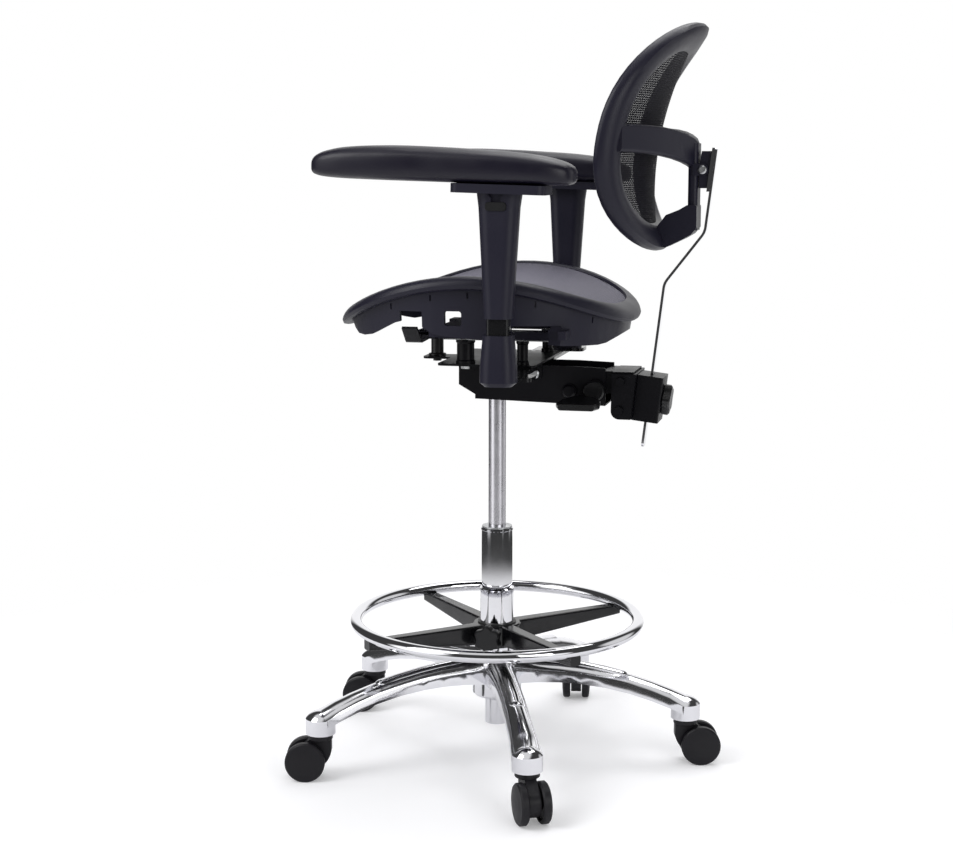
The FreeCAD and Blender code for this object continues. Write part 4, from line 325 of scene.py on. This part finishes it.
def weaving_tree():
    """Turns a loom's edges into yarns: flat arched ribbons that pass over and under each other."""
    tree = bpy.data.node_groups.new("weave_yarns", "GeometryNodeTree")
    sockets = {}
    for label, kind in (("Geometry", "NodeSocketGeometry"), ("Warp Width", "NodeSocketFloat"),
                        ("Weft Width", "NodeSocketFloat"), ("Yarn Arch", "NodeSocketFloat"),
                        ("Crossing Rise", "NodeSocketFloat"), ("Material", "NodeSocketMaterial")):
        sockets[label] = tree.interface.new_socket(label, in_out="INPUT", socket_type=kind).identifier
    tree.interface.new_socket("Geometry", in_out="OUTPUT", socket_type="NodeSocketGeometry")
    given = tree.nodes.new("NodeGroupInput")
    result = tree.nodes.new("NodeGroupOutput")

    def named(label, kind):
        node = tree.nodes.new("GeometryNodeInputNamedAttribute")
        node.data_type = kind
        node.inputs["Name"].default_value = label
        return node.outputs["Attribute"]

    def arithmetic(kind, operation, *values):
        node = tree.nodes.new(kind)
        node.operation = operation
        for slot, value in zip(node.inputs, values):
            if hasattr(value, "is_linked"):
                tree.links.new(value, slot)
            else:
                slot.default_value = value
        return node

    def arched_profile(width):
        profile = tree.nodes.new("GeometryNodeCurveQuadraticBezier")
        profile.inputs["Resolution"].default_value = 2
        for label, share in (("Start", -0.5), ("Middle", 0.0), ("End", 0.5)):
            place = tree.nodes.new("ShaderNodeCombineXYZ")
            across = arithmetic("ShaderNodeMath", "MULTIPLY", width, share)
            tree.links.new(across.outputs["Value"], place.inputs["Y"])
            if label == "Middle":
                tree.links.new(given.outputs["Yarn Arch"], place.inputs["X"])
            tree.links.new(place.outputs["Vector"], profile.inputs[label])
        return profile.outputs["Curve"]

    join = tree.nodes.new("GeometryNodeJoinGeometry")
    warp = named("warp", "BOOLEAN")
    weft = arithmetic("FunctionNodeBooleanMath", "NOT", warp).outputs["Boolean"]
    for chosen, sign, width in ((warp, 1.0, "Warp Width"), (weft, -1.0, "Weft Width")):
        yarns = tree.nodes.new("GeometryNodeMeshToCurve")
        tree.links.new(given.outputs["Geometry"], yarns.inputs["Mesh"])
        tree.links.new(chosen, yarns.inputs["Selection"])
        facing = tree.nodes.new("GeometryNodeSetCurveNormal")
        facing.mode = "FREE"
        tree.links.new(yarns.outputs["Curve"], facing.inputs["Curve"])
        tree.links.new(named("sheet_normal", "FLOAT_VECTOR"), facing.inputs["Normal"])
        rise = arithmetic("ShaderNodeMath", "MULTIPLY", named("lift", "FLOAT"),
                          given.outputs["Crossing Rise"])
        signed = arithmetic("ShaderNodeMath", "MULTIPLY", rise.outputs["Value"], sign)
        offset = tree.nodes.new("ShaderNodeVectorMath")
        offset.operation = "SCALE"
        tree.links.new(named("sheet_normal", "FLOAT_VECTOR"), offset.inputs["Vector"])
        tree.links.new(signed.outputs["Value"], offset.inputs["Scale"])
        wave = tree.nodes.new("GeometryNodeSetPosition")
        tree.links.new(facing.outputs["Curve"], wave.inputs["Geometry"])
        tree.links.new(offset.outputs["Vector"], wave.inputs["Offset"])
        ribbon = tree.nodes.new("GeometryNodeCurveToMesh")
        tree.links.new(wave.outputs["Geometry"], ribbon.inputs["Curve"])
        tree.links.new(arched_profile(given.outputs[width]), ribbon.inputs["Profile Curve"])
        tree.links.new(ribbon.outputs["Mesh"], join.inputs["Geometry"])
    soft = tree.nodes.new("GeometryNodeSetShadeSmooth")
    real = tree.nodes.new("GeometryNodeRealizeInstances")
    coat = tree.nodes.new("GeometryNodeSetMaterial")
    tree.links.new(join.outputs["Geometry"], soft.inputs["Geometry"])
    tree.links.new(soft.outputs["Geometry"], real.inputs["Geometry"])
    tree.links.new(real.outputs["Geometry"], coat.inputs["Geometry"])
    tree.links.new(given.outputs["Material"], coat.inputs["Material"])
    tree.links.new(coat.outputs["Geometry"], result.inputs["Geometry"])
    return tree, sockets


WEAVE_YARNS, WEAVE_SOCKETS = weaving_tree()


def made_plain(piece):
    """Turns a piece with a node modifier into a plain mesh in the same place."""
    evaluated = piece.evaluated_get(bpy.context.evaluated_depsgraph_get())
    mesh = bpy.data.meshes.new_from_object(evaluated)
    piece.modifiers.clear()
    old = piece.data
    piece.data = mesh
    bpy.data.meshes.remove(old)
    return piece


def weave(piece, warp_width, weft_width, material):
    maker = piece.modifiers.new("weave_yarns", "NODES")
    maker.node_group = WEAVE_YARNS
    maker[WEAVE_SOCKETS["Warp Width"]] = warp_width
    maker[WEAVE_SOCKETS["Weft Width"]] = weft_width
    maker[WEAVE_SOCKETS["Yarn Arch"]] = YARN_ARCH
    maker[WEAVE_SOCKETS["Crossing Rise"]] = CROSSING_RISE
    maker[WEAVE_SOCKETS["Material"]] = material
    return made_plain(piece)


def yarn_group():
    """Lighter and darker fibres along a yarn, as a factor for its colour and a height."""
    tree, given, result = new_group("yarn_fibres", [("Scale", 500.0)],
                                    [("Factor", "NodeSocketFloat"), ("Height", "NodeSocketFloat")])
    place = tree.nodes.new("ShaderNodeTexCoord")
    fibre = tree.nodes.new("ShaderNodeTexNoise")
    fibre.inputs["Detail"].default_value = 3.0
    patch = tree.nodes.new("ShaderNodeTexNoise")
    patch.inputs["Scale"].default_value = 12.0
    even = tree.nodes.new("ShaderNodeMapRange")
    even.inputs["To Min"].default_value = 0.44
    even.inputs["To Max"].default_value = 0.56
    mix = tree.nodes.new("ShaderNodeMath")
    mix.operation = "MULTIPLY"
    tree.links.new(place.outputs["Object"], fibre.inputs["Vector"])
    tree.links.new(place.outputs["Object"], patch.inputs["Vector"])
    tree.links.new(given.outputs["Scale"], fibre.inputs["Scale"])
    tree.links.new(fibre.outputs["Fac"], mix.inputs[0])
    tree.links.new(patch.outputs["Fac"], even.inputs["Value"])
    tree.links.new(even.outputs["Result"], mix.inputs[1])
    tree.links.new(mix.outputs["Value"], result.inputs["Factor"])
    tree.links.new(fibre.outputs["Fac"], result.inputs["Height"])
    return tree


YARN_FIBRES = yarn_group()


def yarn_material(name, dark, light, roughness, sheen):
    material, tree, shader = new_material(name, dark, roughness)
    fibres = tree.nodes.new("ShaderNodeGroup")
    fibres.node_tree = YARN_FIBRES
    ramp = tree.nodes.new("ShaderNodeValToRGB")
    ramp.color_ramp.elements[0].position = 0.15
    ramp.color_ramp.elements[0].color = (*dark, 1.0)
    ramp.color_ramp.elements[1].position = 0.4
    ramp.color_ramp.elements[1].color = (*light, 1.0)
    bump = tree.nodes.new("ShaderNodeBump")
    bump.inputs["Distance"].default_value = 0.0002
    bump.inputs["Strength"].default_value = 0.5
    tree.links.new(fibres.outputs["Factor"], ramp.inputs["Fac"])
    tree.links.new(ramp.outputs["Color"], shader.inputs["Base Color"])
    tree.links.new(fibres.outputs["Height"], bump.inputs["Height"])
    tree.links.new(bump.outputs["Normal"], shader.inputs["Normal"])
    shader.inputs["Sheen Weight"].default_value = sheen
    shader.inputs["Specular IOR Level"].default_value = 0.2
    return material


# Painted light: the seat yarn's colours are partly its own and partly made lighter, standing in for the light
# and grazing reflection on the seat's top.
seat_yarn_painted_light = yarn_material("seat_yarn_painted_light", (0.060, 0.056, 0.085), (0.165, 0.156, 0.222), 0.6, 0.2)
seat_weave = loom("seat_weave", seat_sheet, SEAT_HALF_WIDTH - SEAT_TUCK, SEAT_HALF_DEPTH - SEAT_TUCK,
                  SEAT_MID_Y, YARN_PITCH, SEAT_SQUARENESS)
weave(seat_weave, NARROW_YARN, WIDE_YARN, seat_yarn_painted_light)
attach(seat_weave, "seat")
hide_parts("seat_mesh")

# Arms
# Steel brackets with a lacquered post tube, a moulded cover at the foot, a tapered sleeve that slides
# on the post, and a soft moulded pad.

post_black, post_tree, post_shader = new_material("post_lacquer", (0.008, 0.008, 0.009), 0.12)
add_smudges(post_tree, post_shader, 30.0, 0.08, 0.2)
for side in ("left", "right"):
    finish_node(f"arm_bracket_{side}", post_black)
    finish_node(f"arm_socket_{side}", frame_black)
    finish_node(f"arm_sleeve_{side}", frame_black)
    finish_node(f"arm_trigger_{side}", knob_black)

# Arm pads
# Self-skinned foam moulded over a plate: full at the front, thinner to the rear, crowned on top and
# flat only where it sits on the sleeve's plate. The skin has a fine leather-like texture.

PAD_FRONT = -0.216
PAD_REAR = 0.172
PAD_CENTRE = 0.264
PAD_TILT = math.radians(-1.8)
PAD_PIVOT = (0.062, 0.9303)
PAD_STATIONS = 72
PAD_SPOKES = 40
PAD_SHOULDER = 0.52
PAD_SIDE_BEND = 0.62
PAD_CROWN_BEND = 0.72
PAD_SOLE_BEND = 0.5
# Along the pad: share of its length, half width, low and high of the section
PAD_SECTIONS = [(0.0, 0.008, 0.0150, 0.0200), (0.006, 0.020, 0.0085, 0.0270), (0.022, 0.030, 0.0045, 0.0335),
                (0.06, 0.038, 0.0020, 0.0400), (0.135, 0.0445, 0.0006, 0.0460), (0.3, 0.0488, 0.0, 0.0500),
                (0.47, 0.049, 0.0, 0.0498), (0.61, 0.0486, 0.0, 0.0484), (0.755, 0.0475, 0.0, 0.0462),
                (0.863, 0.0445, 0.0, 0.0420), (0.933, 0.039, 0.0004, 0.0368), (0.975, 0.031, 0.0018, 0.0310),
                (0.994, 0.021, 0.0055, 0.0250), (1.0, 0.009, 0.0110, 0.0190)]


def between(table, share):
    """A row of a table of sections at one share, eased between its neighbours."""
    rows = [table[0]] + table + [table[-1]]
    for before, near, far, after in zip(rows, rows[1:], rows[2:], rows[3:]):
        if near[0] <= share <= far[0]:
            span = far[0] - near[0]
            t = (share - near[0]) / span
            values = []
            for k in range(1, len(near)):
                slope_near = (far[k] - before[k]) / (far[0] - before[0]) * span
                slope_far = (after[k] - near[k]) / (after[0] - near[0]) * span
                values.append((2 * t ** 3 - 3 * t ** 2 + 1) * near[k] + (t ** 3 - 2 * t ** 2 + t) * slope_near
                              + (3 * t ** 2 - 2 * t ** 3) * far[k] + (t ** 3 - t ** 2) * slope_far)
            return values
    return list(table[-1][1:])


def pad_mesh(name, side):
    """Rings of points round the pad, closed by a point at each end."""
    points = []
    faces = []
    for i in range(PAD_STATIONS + 1):
        share = 0.5 - 0.5 * math.cos(math.pi * i / PAD_STATIONS)
        half, low, high = between(PAD_SECTIONS, share)
        y = PAD_FRONT + share * (PAD_REAR - PAD_FRONT)
        shoulder = low + (high - low) * PAD_SHOULDER
        for k in range(PAD_SPOKES):
            turn = 2 * math.pi * k / PAD_SPOKES
            c = math.cos(turn)
            s = math.sin(turn)
            across = half * math.copysign(abs(c) ** PAD_SIDE_BEND, c)
            if s >= 0:
                up = shoulder + (high - shoulder) * abs(s) ** PAD_CROWN_BEND
            else:
                up = shoulder - (shoulder - low) * abs(s) ** PAD_SOLE_BEND
            points.append([across, y, up])
    for i in range(PAD_STATIONS):
        for k in range(PAD_SPOKES):
            a = i * PAD_SPOKES + k
            b = i * PAD_SPOKES + (k + 1) % PAD_SPOKES
            faces.append((a, a + PAD_SPOKES, b + PAD_SPOKES, b))
    for ring, order in ((0, 1), (PAD_STATIONS, -1)):
        first = ring * PAD_SPOKES
        tip = [0.0, points[first][1], sum(points[first + k][2] for k in range(PAD_SPOKES)) / PAD_SPOKES]
        points.append(tip)
        for k in range(PAD_SPOKES):
            loop = (len(points) - 1, first + k, first + (k + 1) % PAD_SPOKES)
            faces.append(loop[::order])
    placed = []
    for across, y, up in points:
        ahead = y - PAD_PIVOT[0]
        turned_y = PAD_PIVOT[0] + ahead * math.cos(PAD_TILT) - up * math.sin(PAD_TILT)
        turned_z = PAD_PIVOT[1] + ahead * math.sin(PAD_TILT) + up * math.cos(PAD_TILT)
        placed.append((side * (PAD_CENTRE + across), turned_y, turned_z))
    if side < 0:
        faces = [face[::-1] for face in faces]
    mesh = bpy.data.meshes.new(name)
    mesh.from_pydata(placed, [], faces)
    mesh.shade_smooth()
    piece = bpy.data.objects.new(name, mesh)
    bpy.context.scene.collection.objects.link(piece)
    return piece


LEATHER_SKIN = textured_group("leather_skin", 320.0, 0.3, 0.45, "SMOOTH_F1", 14.0, 6.0)
pad_skin, skin_tree, skin_shader = new_material("pad_skin", (0.0070, 0.0058, 0.0145), 0.32)
skin_shader.inputs["Specular IOR Level"].default_value = 0.35
add_texture(skin_tree, skin_shader, LEATHER_SKIN, 320.0, 0.00012, 0.7, 0.3, 0.45)
for side, sign in (("left", 1), ("right", -1)):
    pad = pad_mesh(f"pad_cover_{side}", sign)
    pad.data.materials.append(pad_skin)
    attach(pad, f"arm_top_{side}")
    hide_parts(f"arm_pad_{side}")

# Back
# A chromed flat bar carries a pivot block, on which the moulded oval frame tips. A weave is stretched
# across the oval.

finish_node("back_bar", chrome)
finish_node("pivot_block", frame_black)
finish_node("pivot_pin", zinc)
finish_node("back_frame", frame_black)

# Back weave
# The same kind of sheet, wrapped round the sitter's back and leaning away above the waist.

BACK_HALF_WIDTH = 0.2105
BACK_HALF_HEIGHT = 0.17125
BACK_MID_Z = 0.99775
BACK_SQUARENESS = 2.5
BACK_TUCK = 0.039
BACK_WAIST_Y = 0.2446
BACK_WAIST_Z = 0.915
BACK_LEAN_ABOVE = 1.1
BACK_LEAN_BELOW = 1.48
BACK_WRAP_RADIUS = 0.435


def back_sheet(x, z):
    """Depth of the stretched sheet behind one point of the back."""
    lean = BACK_LEAN_ABOVE if z > BACK_WAIST_Z else BACK_LEAN_BELOW
    wrap = BACK_WRAP_RADIUS - math.sqrt(BACK_WRAP_RADIUS ** 2 - x ** 2)
    return Vector((x, BACK_WAIST_Y + lean * (z - BACK_WAIST_Z) ** 2 - wrap, z))


# Painted shade: the back yarn's colours are made near black, far darker than the seat yarn of the same kind
# of weave, standing in for the shade on the sheet seen from behind.
back_yarn_painted_shade = yarn_material("back_yarn_painted_shade", (0.003, 0.003, 0.006), (0.010, 0.009, 0.016), 0.6, 0.0)
back_weave = loom("back_weave", back_sheet, BACK_HALF_WIDTH - BACK_TUCK, BACK_HALF_HEIGHT - BACK_TUCK,
                  BACK_MID_Z, YARN_PITCH, BACK_SQUARENESS)
weave(back_weave, WIDE_YARN, NARROW_YARN, back_yarn_painted_shade)
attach(back_weave, "backrest")
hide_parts("back_mesh")

# Studio
# A white floor that fades into a white surround, a dim room with soft boxes for the reflections, soft
# lamps overhead and a camera where the photograph was taken.

FLOOR_HALF = 2.4
FLOOR_FADE = (0.75, 1.4)
FLOOR_GLOW = 0.22
ROOM_LEVEL = 0.55       # light of the room on dull surfaces
ROOM_DIM = 0.05         # the room as shiny surfaces see it
ROOM_FLOOR = 0.85
FLOOR_BELOW = (0.222, 0.238)    # how far down a shiny surface must look to see floor
BOXES_ABOVE = (0.203, 0.212)    # how far down the soft boxes reach
SOFT_BOXES = [((0.25, -0.1, 0.96), 0.80, 0.92, 0.7), ((0.62, -0.76, 0.2), 0.86, 0.95, 1.25),
              ((0.55, 0.83, 0.05), 0.955, 0.985, 1.0), ((-0.5, 0.85, 0.15), 0.9, 0.97, 0.7),
              ((-0.95, -0.15, 0.2), 0.80, 0.92, 1.0)]

floor_mesh = bpy.data.meshes.new("studio_floor")
corners = [(-FLOOR_HALF, -FLOOR_HALF, 0), (FLOOR_HALF, -FLOOR_HALF, 0), (FLOOR_HALF, FLOOR_HALF, 0),
           (-FLOOR_HALF, FLOOR_HALF, 0)]
floor_mesh.from_pydata(corners, [], [(0, 1, 2, 3)])
floor = bpy.data.objects.new("studio_floor", floor_mesh)
bpy.context.scene.collection.objects.link(floor)
floor_white, floor_tree, floor_shader = new_material("studio_floor", (0.86, 0.86, 0.88), 0.9)
floor_shader.inputs["Specular IOR Level"].default_value = 0.0
light_path = floor_tree.nodes.new("ShaderNodeLightPath")
glow = floor_tree.nodes.new("ShaderNodeMath")
glow.operation = "MULTIPLY"
glow.inputs[1].default_value = FLOOR_GLOW
floor_place = floor_tree.nodes.new("ShaderNodeTexCoord")
floor_reach = floor_tree.nodes.new("ShaderNodeVectorMath")
floor_reach.operation = "LENGTH"
floor_fade = floor_tree.nodes.new("ShaderNodeMapRange")
floor_fade.interpolation_type = "SMOOTHSTEP"
floor_fade.inputs["From Min"].default_value = FLOOR_FADE[0]
floor_fade.inputs["From Max"].default_value = FLOOR_FADE[1]
floor_fade.inputs["To Min"].default_value = 1.0
floor_fade.inputs["To Max"].default_value = 0.0
floor_shader.inputs["Emission Color"].default_value = (1, 1, 1, 1)
floor_tree.links.new(light_path.outputs["Is Camera Ray"], glow.inputs[0])
floor_tree.links.new(glow.outputs["Value"], floor_shader.inputs["Emission Strength"])
floor_tree.links.new(floor_place.outputs["Object"], floor_reach.inputs[0])
floor_tree.links.new(floor_reach.outputs["Value"], floor_fade.inputs["Value"])
floor_tree.links.new(floor_fade.outputs["Result"], floor_shader.inputs["Alpha"])
floor_mesh.materials.append(floor_white)

world = bpy.data.worlds.new("studio")
bpy.context.scene.world = world
world.use_nodes = True
sky = world.node_tree
surround = sky.nodes["Background"]
surround.inputs["Color"].default_value = (1, 1, 1, 1)
seen = sky.nodes.new("ShaderNodeLightPath")
heading = sky.nodes.new("ShaderNodeTexCoord")


def sky_math(operation, first, second):
    node = sky.nodes.new("ShaderNodeMath")
    node.operation = operation
    for slot, value in zip(node.inputs, (first, second)):
        if hasattr(value, "is_linked"):
            sky.links.new(value, slot)
        else:
            slot.default_value = value
    return node.outputs["Value"]


def bright_towards(direction, start, full, level):
    """A soft-edged bright patch of the room round one direction."""
    along = sky.nodes.new("ShaderNodeVectorMath")
    along.operation = "DOT_PRODUCT"
    sky.links.new(heading.outputs["Generated"], along.inputs[0])
    along.inputs[1].default_value = Vector(direction).normalized()
    patch = sky.nodes.new("ShaderNodeMapRange")
    patch.interpolation_type = "SMOOTHSTEP"
    sky.links.new(along.outputs["Value"], patch.inputs["Value"])
    patch.inputs["From Min"].default_value = start
    patch.inputs["From Max"].default_value = full
    patch.inputs["To Max"].default_value = level
    return patch.outputs["Result"]


room = sky_math("ADD", bright_towards((0, 0, -1), *FLOOR_BELOW, ROOM_FLOOR), ROOM_DIM)
above = sky_math("SUBTRACT", 1.0, bright_towards((0, 0, -1), *BOXES_ABOVE, 1.0))
for direction, start, full, box_level in SOFT_BOXES:
    soft_box = bright_towards(direction, start, full, box_level)
    room = sky_math("ADD", room, sky_math("MULTIPLY", above, soft_box))
mirrored_room = sky_math("MULTIPLY", room, seen.outputs["Is Glossy Ray"])
plain = sky_math("MAXIMUM", seen.outputs["Is Camera Ray"], seen.outputs["Is Transmission Ray"])
unseen = sky_math("SUBTRACT", 1.0, sky_math("MAXIMUM", plain, seen.outputs["Is Glossy Ray"]))
dull_room = sky_math("MULTIPLY", unseen, ROOM_LEVEL)
sky.links.new(sky_math("ADD", sky_math("ADD", plain, mirrored_room), dull_room), surround.inputs["Strength"])

LAMP_AIM = Vector((0, 0.05, 0.6))
# Each lamp: its place, width and power
LAMPS = {"key": ((1.6, -1.8, 2.6), 1.6, 45.0), "fill": ((2.2, 2.0, 1.4), 1.4, 18.0),
         "top": ((-0.8, 0.4, 2.8), 1.8, 30.0)}
for name, (spot, width, power) in LAMPS.items():
    lamp = bpy.data.lights.new(name, "AREA")
    lamp.size = width
    lamp.energy = power
    holder = bpy.data.objects.new(name, lamp)
    holder.location = spot
    holder.rotation_euler = (LAMP_AIM - Vector(spot)).to_track_quat("-Z", "Y").to_euler()
    bpy.context.scene.collection.objects.link(holder)

CAMERA_LENS = 66.2
CAMERA_PLACE = (2.7218, 0.6084, 0.957)
CAMERA_AIM = Vector((-0.96241, -0.22728, -0.14867))
camera_data = bpy.data.cameras.new("camera")
camera_data.sensor_fit = "HORIZONTAL"
camera_data.sensor_width = 36.0
camera_data.lens = CAMERA_LENS
camera = bpy.data.objects.new("camera", camera_data)
camera.location = CAMERA_PLACE
camera.rotation_euler = CAMERA_AIM.to_track_quat("-Z", "Y").to_euler()
bpy.context.scene.collection.objects.link(camera)
bpy.context.scene.camera = camera
bpy.context.scene.view_settings.view_transform = "Standard"
